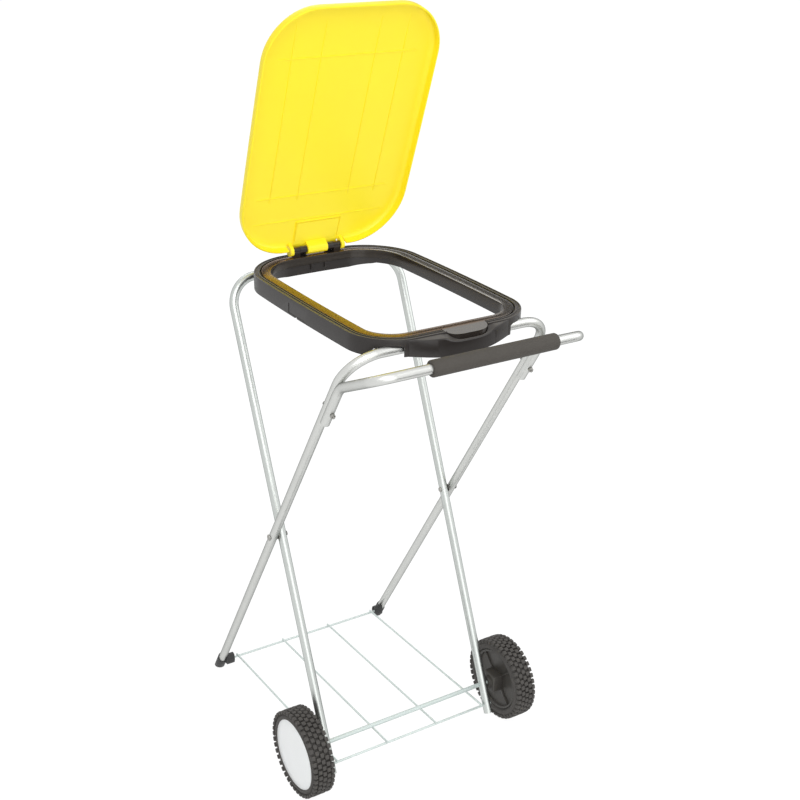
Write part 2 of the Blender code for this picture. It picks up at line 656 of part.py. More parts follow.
def build_shelf(steel, parent):
    """Wire grid: the front rod turns in the wheel frame's legs, the rear rod rests in the feet."""
    lower = bmesh.new()
    front_end = WHEEL_FRAME_X + TUBE_R + 1.5 * MM
    rear_end = FOOT_FRAME_X - TUBE_R - GAP - CAP_WALL
    cross_rod(lower, -front_end, front_end, SHELF_HINGE_Y, SHELF_HINGE_Z, CROSS_ROD_R, 10)
    cross_rod(lower, -rear_end, rear_end, SHELF_REAR_Y, SHELF_REAR_Z, CROSS_ROD_R, 10)
    shelf = add_object("wire_shelf", lower, steel, parent)
    upper = bmesh.new()
    run = Vector((0, SHELF_REAR_Y - SHELF_HINGE_Y, SHELF_REAR_Z - SHELF_HINGE_Z)).normalized()
    raise_by = Vector((0, -run.z, run.y)) * (CROSS_ROD_R + LONG_ROD_R - WELD_DEPTH)
    for x in (-SHELF_EDGE_X, -SHELF_MIDDLE_X, SHELF_MIDDLE_X, SHELF_EDGE_X):
        start = Vector((x, SHELF_HINGE_Y, SHELF_HINGE_Z)) + raise_by - run * 3.5 * MM
        end = Vector((x, SHELF_REAR_Y, SHELF_REAR_Z)) + raise_by + run * 3.5 * MM
        rod(upper, start, end, LONG_ROD_R, 10)
    boolean(shelf, upper, "UNION", steel)
    return shelf


def apron_share(x):
    """How far the apron bulges at a place along X, from 0 at its ends to 1 in its middle."""
    return max(0.0, 1 - (abs(x) / APRON_HALF) ** 2.4)


def apron_edge(x):
    """Height of the apron's front edge, which dips below the thumb tab."""
    dip = max(0.0, 1 - (abs(x - TAB_X) / (TAB_HALF + 9 * MM)) ** 4)
    return RING_TOP - 2.0 * MM - 2.5 * MM * apron_share(x) - 8.0 * MM * dip


def apron_solid(mesh, steps=14):
    """Hood that bulges from the ring's front wall and hides the saddles."""
    wall = RING_FRONT + 1.8 * MM
    rows = []
    for step in range(steps + 1):
        x = APRON_HALF * (2 * step / steps - 1)
        share = apron_share(x)
        reach = 2.2 * MM + APRON_REACH * share
        edge, bottom = apron_edge(x), RING_TOP - RING_H - APRON_DROP * share
        row = [(wall, RING_TOP - 1.4 * MM), (wall - reach * 0.75, edge), (wall - reach * 0.95, edge - 2 * MM),
               (wall - reach, bottom), (wall, bottom)]
        rows.append([mesh.verts.new((x, y, z)) for y, z in row])
    for first, second in zip(rows, rows[1:]):
        bridge(mesh, first, second)
    mesh.faces.new(rows[0])
    mesh.faces.new(rows[-1])


def apron_hollow(mesh):
    """Room below the apron, which leaves a wall at its front and a floor below the tab's pocket."""
    inside, below = RING_FRONT + 6 * MM, RING_TOP - 2 * RING_H
    near, far = TAB_X - TAB_HALF - 5 * MM, TAB_X + TAB_HALF + 5 * MM
    limit = APRON_HALF - 7 * MM
    places = (-limit, -65 * MM, -45 * MM, near - 3 * MM, near, TAB_X, far, far + 3 * MM, 72 * MM, limit)
    rows = []
    for x in places:
        front = RING_FRONT - 0.4 * MM - APRON_REACH * 0.93 * apron_share(x) + APRON_WALL
        ceiling = RING_TOP - POCKET_DEPTH - APRON_WALL
        if not near <= x <= far:
            ceiling = apron_edge(x) - APRON_WALL
        rows.append([mesh.verts.new((x, y, z)) for y, z in
                     ((inside, below), (front, below), (front, ceiling), (inside, ceiling))])
    for first, second in zip(rows, rows[1:]):
        bridge(mesh, first, second)
    mesh.faces.new(rows[0])
    mesh.faces.new(rows[-1])


def tab_outline(grow=0.0, steps=12):
    """D-shaped outline of the thumb tab, seen from above, from the ring's land outwards."""
    start = RING_FRONT + LAND_W + 1.5 * MM
    base = RING_FRONT + LAND_W - 1.5 * MM
    half, reach = TAB_HALF + grow, LAND_W - 1.5 * MM + TAB_REACH + grow
    points = [(TAB_X + half, start), (TAB_X - half, start)]
    for step in range(steps + 1):
        across = -math.cos(math.pi * step / steps)
        points.append((TAB_X + half * across, base - reach * (1 - abs(across) ** 2.4) ** 0.6))
    return points


def tab_solid(mesh, top, bottom, grow=0.0, slope=0.0):
    """The tab's outline between two levels, which may slope down towards its round edge."""
    root = RING_FRONT + LAND_W + 1.5 * MM
    rows = []
    for level in (top, bottom):
        row = []
        for x, y in tab_outline(grow):
            row.append(mesh.verts.new((x, y, RING_TOP + level - slope * (root - y))))
        rows.append(row)
    bridge(mesh, rows[0], rows[1])
    mesh.faces.new(rows[0])
    mesh.faces.new(rows[1])


def knuckle(mesh, x_range, foot):
    """A hinge barrel with its foot: the foot's outline is given as Y and Z from the hinge axis."""
    steps = 10
    outline = []
    start = math.atan2(0.2, 1.0) * -1
    for step in range(steps + 1):
        angle = start + (math.pi - 2 * start) * step / steps
        outline.append((HINGE_Y + KNUCKLE_R * math.cos(angle), HINGE_Z + KNUCKLE_R * math.sin(angle)))
    for y, z in foot:
        outline.append((HINGE_Y + y, HINGE_Z + z))
    prism(mesh, outline, x_range)


def build_ring_frame(plastic, parent):
    top, low = RING_TOP, RING_TOP - RING_H
    deck, inner_low = top - DECK_DROP, top - RING_INNER_H
    section = [(0.0, low), (0.0, top - 1.5 * MM), (1.5 * MM, top), (LAND_W, top - 0.2 * MM), (LAND_W, deck),
               (BAND_W, deck), (BAND_W, inner_low), (BAND_W - RING_WALL, inner_low),
               (BAND_W - RING_WALL, deck - RING_WALL),
               (LAND_W - 1.6 * MM, deck - RING_WALL), (LAND_W - RING_WALL, top - 3 * MM),
               (RING_WALL, top - 3 * MM), (RING_WALL, low)]
    mesh = bmesh.new()
    loop_solid(mesh, section, ring_outline)
    ring = add_object("ring_frame", mesh, plastic, parent)

    apron = bmesh.new()
    apron_solid(apron)
    boolean(ring, apron, "UNION", plastic)
    hollow = bmesh.new()
    apron_hollow(hollow)
    boolean(ring, hollow, "DIFFERENCE", plastic)

    added = bmesh.new()
    half_wall, ceiling = RING_WALL * 0.6, deck - RING_WALL / 2
    for webs, edge, inward, foot in ((SADDLE_WEBS, RING_FRONT, 1, FRONT_BAR_Z),
                                     (CLIP_WEBS, RING_BACK, -1, BACK_BAR_Z - CLIP_LENGTH)):
        outline = []
        for inset, height in ((half_wall, foot), (half_wall, top - 2 * MM), (LAND_W - half_wall, top - 2 * MM),
                              (LAND_W - half_wall, ceiling), (BAND_W - half_wall, ceiling),
                              (BAND_W - half_wall, max(foot, inner_low + 1 * MM)),
                              (BAND_W - half_wall - 3.5 * MM, foot)):
            outline.append((edge + inward * inset, height))
        for x in webs:
            prism(added, outline, (x - WEB_T / 2, x + WEB_T / 2))
    boolean(ring, added, "UNION", plastic)

    barrels = bmesh.new()
    drop, foot_y = HINGE_UP + DECK_DROP + 1 * MM, 6.2 * MM
    for _, side in SIDES:
        knuckle(barrels, sorted(side * x for x in RING_KNUCKLE),
                [(-foot_y, -HINGE_UP * 0.5), (-foot_y, -drop), (foot_y, -drop), (foot_y, -HINGE_UP * 0.5)])
    boolean(ring, barrels, "UNION", plastic)

    cuts = bmesh.new()
    for _, side in SIDES:
        corner_arch(cuts, side, False, (math.radians(15), math.radians(52)), (-3 * MM, 5 * MM), ARCH_TOP,
                    7 * MM)
    boolean(ring, cuts, "DIFFERENCE", plastic)
    inner = bmesh.new()
    front_wall = RING_FRONT + BAND_W
    box(inner, (-112 * MM, 112 * MM), (front_wall - 6 * MM, front_wall + 14 * MM),
        (low - 5 * MM, top - 16.5 * MM))
    boolean(ring, inner, "DIFFERENCE", plastic)
    mouths = bmesh.new()
    reach = RING_HALF
    cross_rod(mouths, -reach, reach, BACK_BAR_Y, BACK_BAR_Z, TUBE_R + GAP, CUT_STEPS)
    boolean(ring, mouths, "DIFFERENCE", plastic)
    saddle = bmesh.new()
    cross_rod(saddle, -reach, reach, FRONT_BAR_Y, FRONT_BAR_Z, TUBE_R + GAP, CUT_STEPS)
    boolean(ring, saddle, "DIFFERENCE", plastic)
    open_below = bmesh.new()
    box(open_below, (-reach, reach), (BACK_BAR_Y - TUBE_R * 0.85, BACK_BAR_Y + TUBE_R * 0.85),
        (low - 10 * MM, BACK_BAR_Z))
    boolean(ring, open_below, "DIFFERENCE", plastic)

    details = bmesh.new()
    side_x = RING_HALF + RING_SIDE_BOW
    box(details, (-side_x - 5 * MM, -side_x + 0.7 * MM), (-23.5 * MM, 33.5 * MM), (low + 2.5 * MM, top - 9 * MM))
    boolean(ring, details, "DIFFERENCE", plastic)
    notch = bmesh.new()
    box(notch, (-side_x - 6 * MM, -side_x + 6 * MM), (5.5 * MM, 11.5 * MM), (low - 3 * MM, low + 2.0 * MM))
    boolean(ring, notch, "DIFFERENCE", plastic)
    pocket = bmesh.new()
    tab_solid(pocket, 6 * MM, -POCKET_DEPTH, 1.0 * MM)
    boolean(ring, pocket, "DIFFERENCE", plastic)
    bore = bmesh.new()
    cross_rod(bore, -PIN_HALF, PIN_HALF, HINGE_Y, HINGE_Z, PIN_R + GAP, 12)
    boolean(ring, bore, "DIFFERENCE", plastic)
    return ring


def build_clamp_ring(plastic, parent):
    """Inner ring that presses the bag onto the ring, with a skirt, a thumb tab and two barrels."""
    top = RING_TOP
    section = [(LAND_W + 2.4 * MM, top - 1.0 * MM), (LAND_W + 2.4 * MM, top - DECK_DROP + 1.1 * MM),
               (BAND_W + 0.35 * MM, top - DECK_DROP + 0.5 * MM), (BAND_W + 1.3 * MM, top - CLAMP_SKIRT),
               (CLAMP_W, top - CLAMP_SKIRT), (CLAMP_W, top - 1.8 * MM), (CLAMP_W - 1.2 * MM, top - 0.7 * MM),
               (LAND_W + 3.6 * MM, top - 0.3 * MM)]
    mesh = bmesh.new()
    loop_solid(mesh, section, ring_outline)
    clamp = add_object("clamp_ring", mesh, plastic, parent)
    tab = bmesh.new()
    tab_solid(tab, 0.2 * MM, -TAB_T, slope=TAB_SLOPE)
    boolean(clamp, tab, "UNION", plastic)
    under = bmesh.new()
    box(under, (-1.5 * TAB_HALF, 1.5 * TAB_HALF),
        (RING_FRONT + LAND_W - 0.5 * MM, RING_FRONT + BAND_W + 0.3 * MM),
        (top - 2 * RING_H, top - DECK_DROP + 0.5 * MM))
    boolean(clamp, under, "DIFFERENCE", plastic)
    scoop = bmesh.new()
    tab_solid(scoop, -2.6 * MM, -TAB_T - 5 * MM, -2.4 * MM, TAB_SLOPE)
    boolean(clamp, scoop, "DIFFERENCE", plastic)
    notches = bmesh.new()
    back = RING_BACK - LAND_W
    for _, side in SIDES:
        x_range = sorted((side * (RING_KNUCKLE[0] - 0.4 * MM), side * (RING_KNUCKLE[1] + 0.2 * MM)))
        box(notches, x_range, (HINGE_Y - 6.9 * MM, back + 4 * MM), (top - 8 * MM, top + 4 * MM))
    boolean(clamp, notches, "DIFFERENCE", plastic)
    barrels = bmesh.new()
    drop = HINGE_UP + 2.6 * MM
    for _, side in SIDES:
        knuckle(barrels, sorted(side * x for x in CLAMP_KNUCKLE),
                [(-6.4 * MM, -HINGE_UP * 0.5), (-6.4 * MM, -drop), (2.2 * MM, -drop),
                 (2.2 * MM, -HINGE_UP * 0.8)])
    boolean(clamp, barrels, "UNION", plastic)
    bore = bmesh.new()
    cross_rod(bore, -PIN_HALF, PIN_HALF, HINGE_Y, HINGE_Z, PIN_R + GAP, 12)
    boolean(clamp, bore, "DIFFERENCE", plastic)
    return clamp


def lid_outline(inset):
    """Outline of the closed lid from above, with the hinge axis at Y = 0."""
    return soft_rectangle(LID_HALF, -LID_FAR, -LID_NEAR, LID_FAR_CORNER, LID_NEAR_CORNER, inset,
                          (2 * MM, 1 * MM))


def build_lid(yellow, parent):
    """Shallow tray, modelled closed about the hinge axis and turned open to its pose."""
    low, high, wall = -LID_BELOW, LID_ABOVE, LID_WALL
    outside = [(1.2 * MM, low), (0.0, low + 1.2 * MM), (0.6 * MM, high - 8.5 * MM),
               (3.0 * MM, high - 3.6 * MM), (7.5 * MM, high - 0.9 * MM), (14 * MM, high),
               (60 * MM, high + 1.0 * MM)]
    inside = [(60 * MM, high + 1.0 * MM - wall), (14.5 * MM, high - wall), (8.8 * MM, high - 3.2 * MM),
              (5.2 * MM, high - 5.6 * MM), (wall + 0.7 * MM, high - 9.4 * MM), (wall + 0.2 * MM, low)]
    mesh = bmesh.new()
    rows = []
    for inset, height in outside + inside:
        rows.append([mesh.verts.new((x, y, height)) for x, y in lid_outline(inset)])
    for first, second in zip(rows, rows[1:] + rows[:1]):
        if first is rows[len(outside) - 1]:
            mesh.faces.new(first)
            mesh.faces.new(second)
        else:
            bridge(mesh, first, second)
    lid = add_object("lid", mesh, yellow, parent, (0, HINGE_Y, HINGE_Z))

    shift = Matrix.Translation((0, HINGE_Y, HINGE_Z))
    plate = high - wall

    def in_place(made):
        made.transform(shift)
        return made

    ribs = bmesh.new()
    for share in LID_RIB_SHARES:
        x = share * LID_HALF
        box(ribs, (x - LID_RIB_W / 2, x + LID_RIB_W / 2), (-0.94 * LID_FAR, -0.22 * LID_FAR),
            (plate - LID_RIB_H, plate + 1.2 * MM))
    boolean(lid, in_place(ribs), "UNION", yellow)
    cross = bmesh.new()
    for share in LID_CROSS_SHARES:
        s = share * LID_FAR
        box(cross, (-0.8 * LID_HALF, 0.8 * LID_HALF), (-s - LID_RIB_W / 2, -s + LID_RIB_W / 2),
            (plate - LID_RIB_H, plate + 1.2 * MM))
    boolean(lid, in_place(cross), "UNION", yellow)

    tongue = bmesh.new()
    outline = [(-62 * MM, plate + 0.8 * MM), (-20 * MM, plate + 0.8 * MM), (1.0 * MM, high - 0.6 * MM),
               (1.0 * MM, KNUCKLE_R + 0.8 * MM), (-9 * MM, KNUCKLE_R + 0.8 * MM),
               (-20 * MM, plate - 1.6 * MM), (-58 * MM, plate - 1.6 * MM)]
    prism(tongue, outline, (-TONGUE_HALF, TONGUE_HALF))
    boolean(lid, in_place(tongue), "UNION", yellow)
    window = bmesh.new()
    box(window, (-TONGUE_HALF + 3 * MM, TONGUE_HALF - 3 * MM), (-18 * MM, 12 * MM),
        (low - 4 * MM, KNUCKLE_R + 0.8 * MM))
    boolean(lid, in_place(window), "DIFFERENCE", yellow)
    barrels = bmesh.new()
    for x_range in LID_KNUCKLES:
        outline = []
        for step in range(11):
            angle = math.pi * (1.08 + 0.92 * step / 10)
            outline.append((KNUCKLE_R * math.cos(angle), KNUCKLE_R * math.sin(angle)))
        outline += [(KNUCKLE_R - 0.4 * MM, 3 * MM), (1.0 * MM, high - 1.2 * MM), (-12 * MM, high - 1.2 * MM),
                    (-12 * MM, KNUCKLE_R)]
        prism(barrels, outline, x_range)
    boolean(lid, in_place(barrels), "UNION", yellow)
    bore = bmesh.new()
    cross_rod(bore, -TONGUE_HALF, TONGUE_HALF, 0, 0, PIN_R + GAP, 12)
    boolean(lid, in_place(bore), "DIFFERENCE", yellow)
    lid.rotation_euler.x = -LID_OPEN
    return lid


def build_hinge_pin(steel, parent):
    profile = [(0, -PIN_HALF), (PIN_R - 0.4 * MM, -PIN_HALF), (PIN_R, -PIN_HALF + 0.6 * MM),
               (PIN_R, PIN_HALF - 0.6 * MM), (PIN_R - 0.4 * MM, PIN_HALF), (0, PIN_HALF)]
    mesh = bmesh.new()
    turned(mesh, profile, (0, HINGE_Y, HINGE_Z), (1, 0, 0), 12)
    add_object("lid_hinge_pin", mesh, steel, parent)


for leftover in list(bpy.data.objects):
    bpy.data.objects.remove(leftover)

chromed = material("zinc_plated_steel", (0.66, 0.67, 0.67), 0.28, 1.0)
dark_steel = material("dark_steel", (0.16, 0.16, 0.16), 0.45, 1.0)
wire_steel = material("galvanised_wire", (0.60, 0.63, 0.62), 0.4, 1.0)
black_plastic = material("black_plastic", (0.035, 0.035, 0.035), 0.5)
ring_plastic = material("dark_grey_plastic", (0.06, 0.055, 0.052), 0.45)
grip_foam = material("grip_foam", (0.09, 0.085, 0.08), 0.85)
tyre_rubber = material("tyre_rubber", (0.045, 0.042, 0.040), 0.8)
white_plastic = material("white_plastic", (0.86, 0.87, 0.86), 0.35)
lid_yellow = material("yellow_plastic", (0.98, 0.80, 0.03), 0.38)

fold_axis = joint_axis("fold_axis", PIVOT_Y, PIVOT_Z)
ring_axis = joint_axis("ring_axis", BACK_BAR_Y, BACK_BAR_Z, parent=fold_axis)
lid_axis = joint_axis("lid_axis", HINGE_Y, HINGE_Z, parent=ring_axis)
clamp_axis = joint_axis("clamp_axis", HINGE_Y, HINGE_Z, parent=ring_axis)
shelf_axis = joint_axis("shelf_axis", SHELF_HINGE_Y, SHELF_HINGE_Z, parent=fold_axis)

build_foot_frame(chromed)
build_pivots(dark_steel)
build_foot_caps(black_plastic)
build_handle(chromed, grip_foam)
build_handle_fasteners(dark_steel)
build_wheel_frame(chromed, fold_axis)
build_axle(chromed, fold_axis)
for side_name, side_sign in SIDES:
    wheel_axis = joint_axis("wheel_axis_" + side_name, AXLE_Y, WHEEL_R, side_sign * WHEEL_INNER_X, fold_axis)
    clip_profile, clip_centre = build_wheel(side_name, side_sign, tyre_rubber, black_plastic, white_plastic,
                                            wheel_axis)
    clip_mesh = bmesh.new()
    turned(clip_mesh, clip_profile, clip_centre, (side_sign, 0, 0), 12)
    add_object("axle_clip_" + side_name, clip_mesh, dark_steel, fold_axis)
build_shelf(wire_steel, shelf_axis)
build_ring_frame(ring_plastic, ring_axis)
build_clamp_ring(ring_plastic, clamp_axis)
build_hinge_pin(dark_steel, ring_axis)
build_lid(lid_yellow, lid_axis)
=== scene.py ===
"""Folding wheeled bin bag holder with its lid open, dressed for a plain studio render.

Frame: +Z up, X along the wheel axle, -Y towards the handle. Lengths are written in
millimetres and turned to metres by MM.
"""
import math

import bpy
from mathutils import Matrix, Vector


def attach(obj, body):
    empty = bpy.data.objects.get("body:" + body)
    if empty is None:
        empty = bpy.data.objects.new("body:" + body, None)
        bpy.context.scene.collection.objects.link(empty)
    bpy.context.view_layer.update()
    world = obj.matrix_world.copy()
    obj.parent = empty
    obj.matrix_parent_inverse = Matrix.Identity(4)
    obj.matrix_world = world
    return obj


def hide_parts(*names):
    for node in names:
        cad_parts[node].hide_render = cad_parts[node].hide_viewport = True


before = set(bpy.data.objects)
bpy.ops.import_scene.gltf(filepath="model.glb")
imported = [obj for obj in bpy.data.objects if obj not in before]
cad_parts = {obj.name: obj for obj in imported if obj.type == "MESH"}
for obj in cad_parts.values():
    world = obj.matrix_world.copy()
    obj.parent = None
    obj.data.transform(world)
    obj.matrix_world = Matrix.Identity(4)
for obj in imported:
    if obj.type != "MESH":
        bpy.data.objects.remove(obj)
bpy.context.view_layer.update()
MM = 0.001


# Camera: the photograph's view, from the left of the handle and well above the ring. The shift
# frames the object as the photograph does.
CAMERA_AT = Vector((-1.0612, -1.65665, 1.53173))
CAMERA_AZIMUTH = math.radians(-31.46)
CAMERA_ELEVATION = math.radians(25.41)
CAMERA_ROLL = math.radians(0.8)
CAMERA_LENS = 55.62
CAMERA_SENSOR = 36.0
CAMERA_SHIFT = (0.0546, 0.0478)

data = bpy.data.cameras.new("camera")
data.lens = CAMERA_LENS
data.sensor_width = CAMERA_SENSOR
data.shift_x, data.shift_y = CAMERA_SHIFT
data.clip_end = 30.0
camera = bpy.data.objects.new("camera", data)
bpy.context.collection.objects.link(camera)
camera.rotation_euler = (Matrix.Rotation(CAMERA_AZIMUTH, 3, "Z")
                         @ Matrix.Rotation(math.radians(90) - CAMERA_ELEVATION, 3, "X")
                         @ Matrix.Rotation(CAMERA_ROLL, 3, "Z")).to_euler()
camera.location = CAMERA_AT
bpy.context.scene.camera = camera


# Studio: a pale floor that keeps a faint shadow, white all round, and soft lamps from above. The white
# is seen directly and in reflections only, and adds little light.
def add_node(tree, kind, inputs=None, **settings):
    """A node with its settings; each input is a value or the socket that feeds it."""
    made = tree.nodes.new(kind)
    for key, value in settings.items():
        setattr(made, key, value)
    for key, value in (inputs or {}).items():
        if isinstance(value, bpy.types.NodeSocket):
            tree.links.new(value, made.inputs[key])
        else:
            made.inputs[key].default_value = value
    return made


def linear(tint):
    """An sRGB hex colour as the linear values that Blender's shaders take."""
    parts = []
    for start in (1, 3, 5):
        share = int(tint[start:start + 2], 16) / 255
        parts.append(share / 12.92 if share <= 0.04045 else ((share + 0.055) / 1.055) ** 2.4)
    return (*parts, 1.0)


def seen_directly(tree):
    """1 for camera, glossy and transmission rays, 0 for the rays that light the object."""
    path = add_node(tree, "ShaderNodeLightPath").outputs
    seen = path["Is Camera Ray"]
    for other in ("Is Glossy Ray", "Is Transmission Ray"):
        seen = add_node(tree, "ShaderNodeMath", {0: seen, 1: path[other]}, operation="MAXIMUM").outputs[0]
    return seen


def emptied(holder):
    """The node tree of a new world or material, with nothing in it."""
    holder.use_nodes = True
    holder.node_tree.nodes.clear()
    return holder.node_tree


WHITE = (1, 1, 1, 1)
WORLD_LIGHT = 0.7
FLOOR_SIZE = 80.0
FLOOR_GLOW = 1.1
FLOOR_GLOW_SHARE = 0.86

world = bpy.data.worlds.new("studio")
tree = emptied(world)
lit = add_node(tree, "ShaderNodeBackground", {"Color": linear("#f4f6f8"), "Strength": WORLD_LIGHT})
seen = add_node(tree, "ShaderNodeBackground", {"Color": WHITE, "Strength": 1.0})
mixed = add_node(tree, "ShaderNodeMixShader", {0: seen_directly(tree), 1: lit.outputs[0], 2: seen.outputs[0]})
add_node(tree, "ShaderNodeOutputWorld", {"Surface": mixed.outputs[0]})
bpy.context.scene.world = world
bpy.context.scene.view_settings.view_transform = "Standard"

bpy.ops.mesh.primitive_plane_add(size=FLOOR_SIZE, location=(0, 0, 0))
floor = bpy.context.object
floor.name = "floor"
floor_paint = bpy.data.materials.new("studio_floor")
tree = emptied(floor_paint)
matt = add_node(tree, "ShaderNodeBsdfDiffuse", {"Color": linear("#f2f2f2")})
white = add_node(tree, "ShaderNodeEmission", {"Color": WHITE, "Strength": FLOOR_GLOW})
share = add_node(tree, "ShaderNodeMath", {0: seen_directly(tree), 1: FLOOR_GLOW_SHARE}, operation="MULTIPLY")
mixed = add_node(tree, "ShaderNodeMixShader", {0: share.outputs[0], 1: matt.outputs[0], 2: white.outputs[0]})
add_node(tree, "ShaderNodeOutputMaterial", {"Surface": mixed.outputs[0]})
floor.data.materials.append(floor_paint)

LAMPS = (("key", (-1.3, -1.9, 2.9), 2.0, 38.0), ("fill", (2.4, -1.2, 2.2), 2.2, 20.0),
         ("back", (0.6, 2.4, 2.6), 1.8, 16.0), ("front", (-0.5, -2.8, 1.1), 2.2, 17.0))
LAMP_AIM = Vector((0, 0, 0.6))
for lamp_name, lamp_at, lamp_size, lamp_watts in LAMPS:
    lamp_data = bpy.data.lights.new(lamp_name, "AREA")
    lamp_data.size = lamp_size
    lamp_data.energy = lamp_watts
    lamp = bpy.data.objects.new(lamp_name, lamp_data)
    lamp.location = lamp_at
    lamp.rotation_euler = (LAMP_AIM - lamp.location).to_track_quat("-Z", "Y").to_euler()
    bpy.context.collection.objects.link(lamp)

# Two dark cards, out of the camera's sight, that the bright tubes mirror.
CARDS = (("card_behind", (1.15, 1.75, 1.75), (64, 0, -31), (2.2, 1.1)),
         ("card_before", (1.2, -1.9, 0.02), (0, 0, 0), (1.5, 1.5)))
card_paint = bpy.data.materials.new("studio_card")
tree = emptied(card_paint)
shade = add_node(tree, "ShaderNodeEmission", {"Color": linear("#3a3836"), "Strength": 1.0})
add_node(tree, "ShaderNodeOutputMaterial", {"Surface": shade.outputs[0]})
for card_name, card_at, card_turn, card_size in CARDS:
    turn = [math.radians(angle) for angle in card_turn]
    bpy.ops.mesh.primitive_plane_add(size=1.0, location=card_at, rotation=turn)
    card = bpy.context.object
    card.name = card_name
    card.scale = (*card_size, 1.0)
    card.data.materials.append(card_paint)
    card.visible_camera = card.visible_diffuse = card.visible_shadow = False


# Foot frame: the outer U of 16 mm zinc-plated steel tube, bent cold. Its legs stand in the feet, and
# its top bar carries the front of the ring.
TUBE_R = 8.0 * MM
TUBE_WALL = 1.2 * MM
PIVOT = Vector((0, 41.2 * MM, 433.3 * MM))
FOOT_LEAN = math.radians(30.45)
FOOT_FRAME_X = 192.0 * MM
FOOT_FRAME_REACH = 490.5 * MM
FOOT_FRAME_BEND = 59.0 * MM
FOOT_TUBE_END_Z = 12.0 * MM


def only(*chosen):
    """Selects just these objects; the first one becomes active."""
    bpy.ops.object.select_all(action="DESELECT")
    for each in chosen:
        each.select_set(True)
    bpy.context.view_layer.objects.active = chosen[0]


def edit(shape):
    """Opens a shape in edit mode with all of it selected."""
    only(shape)
    bpy.ops.object.mode_set(mode="EDIT")
    bpy.ops.mesh.select_all(action="SELECT")


def leave():
    bpy.ops.object.mode_set(mode="OBJECT")


def tidy(shape):
    """Merges touching vertices, drops loose edges and turns all faces outwards."""
    edit(shape)
    bpy.ops.mesh.remove_doubles(threshold=0.002 * MM)
    bpy.ops.mesh.delete_loose(use_verts=True, use_edges=True, use_faces=False)
    bpy.ops.mesh.select_all(action="SELECT")
    bpy.ops.mesh.normals_make_consistent(inside=False)
    leave()


def extrude(shift, steps=1):
    """Extrudes what is selected along a shift, in equal steps."""
    for _ in range(steps):
        bpy.ops.mesh.extrude_region_move(TRANSFORM_OT_translate={"value": Vector(shift) / steps})


def modify(shape, kind, **settings):
    """Adds a modifier with its settings and applies it."""
    step = shape.modifiers.new("step", kind)
    for key, value in settings.items():
        setattr(step, key, value)
    only(shape)
    bpy.ops.object.modifier_apply(modifier="step")


def fix_place(shape):
    """Moves a shape's place, turn and size into its mesh."""
    only(shape)
    bpy.ops.object.transform_apply(location=True, rotation=True, scale=True)


def bent_tube(corners, bends, radius, sides=36, steps=14, wall=0.0):
    """A tube along straight runs with an arc at each inner corner, solid unless it has a wall."""
    corners = [Vector(corner) for corner in corners]
    ahead = corners[1] - corners[0]
    turn = Vector((0, 0, 1)).rotation_difference(ahead).to_euler()
    bpy.ops.mesh.primitive_circle_add(vertices=sides, radius=radius, location=corners[0], rotation=turn)
    tube = bpy.context.object
    edit(tube)
    if not wall:
        bpy.ops.mesh.edge_face_add()
    reached = corners[0]
    for before, corner, after, bend in zip(corners, corners[1:], corners[2:], bends):
        back, ahead = (before - corner).normalized(), (after - corner).normalized()
        half = back.angle(ahead) / 2
        extrude(corner + back * bend / math.tan(half) - reached)
        centre = corner + (back + ahead).normalized() * bend / math.sin(half)
        bpy.ops.mesh.spin(steps=steps, angle=math.pi - 2 * half, center=centre, axis=back.cross(ahead))
        reached = corner + ahead * bend / math.tan(half)
    extrude(corners[-1] - reached)
    leave()
    tidy(tube)
    if wall:
        modify(tube, "SOLIDIFY", thickness=wall, offset=-1.0)
    fix_place(tube)
    return tube


def settle(shape, name, finish, slot, body, *nodes, angle=35):
    """Gives a finished piece its name, material, shading, place in its mesh, and body."""
    fix_place(shape)
    bpy.ops.object.shade_smooth_by_angle(angle=math.radians(angle))
    shape.name = shape.data.name = name
    shape.data.materials.clear()
    shape.data.materials.append(finish)
    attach(shape, body)
    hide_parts(*nodes)


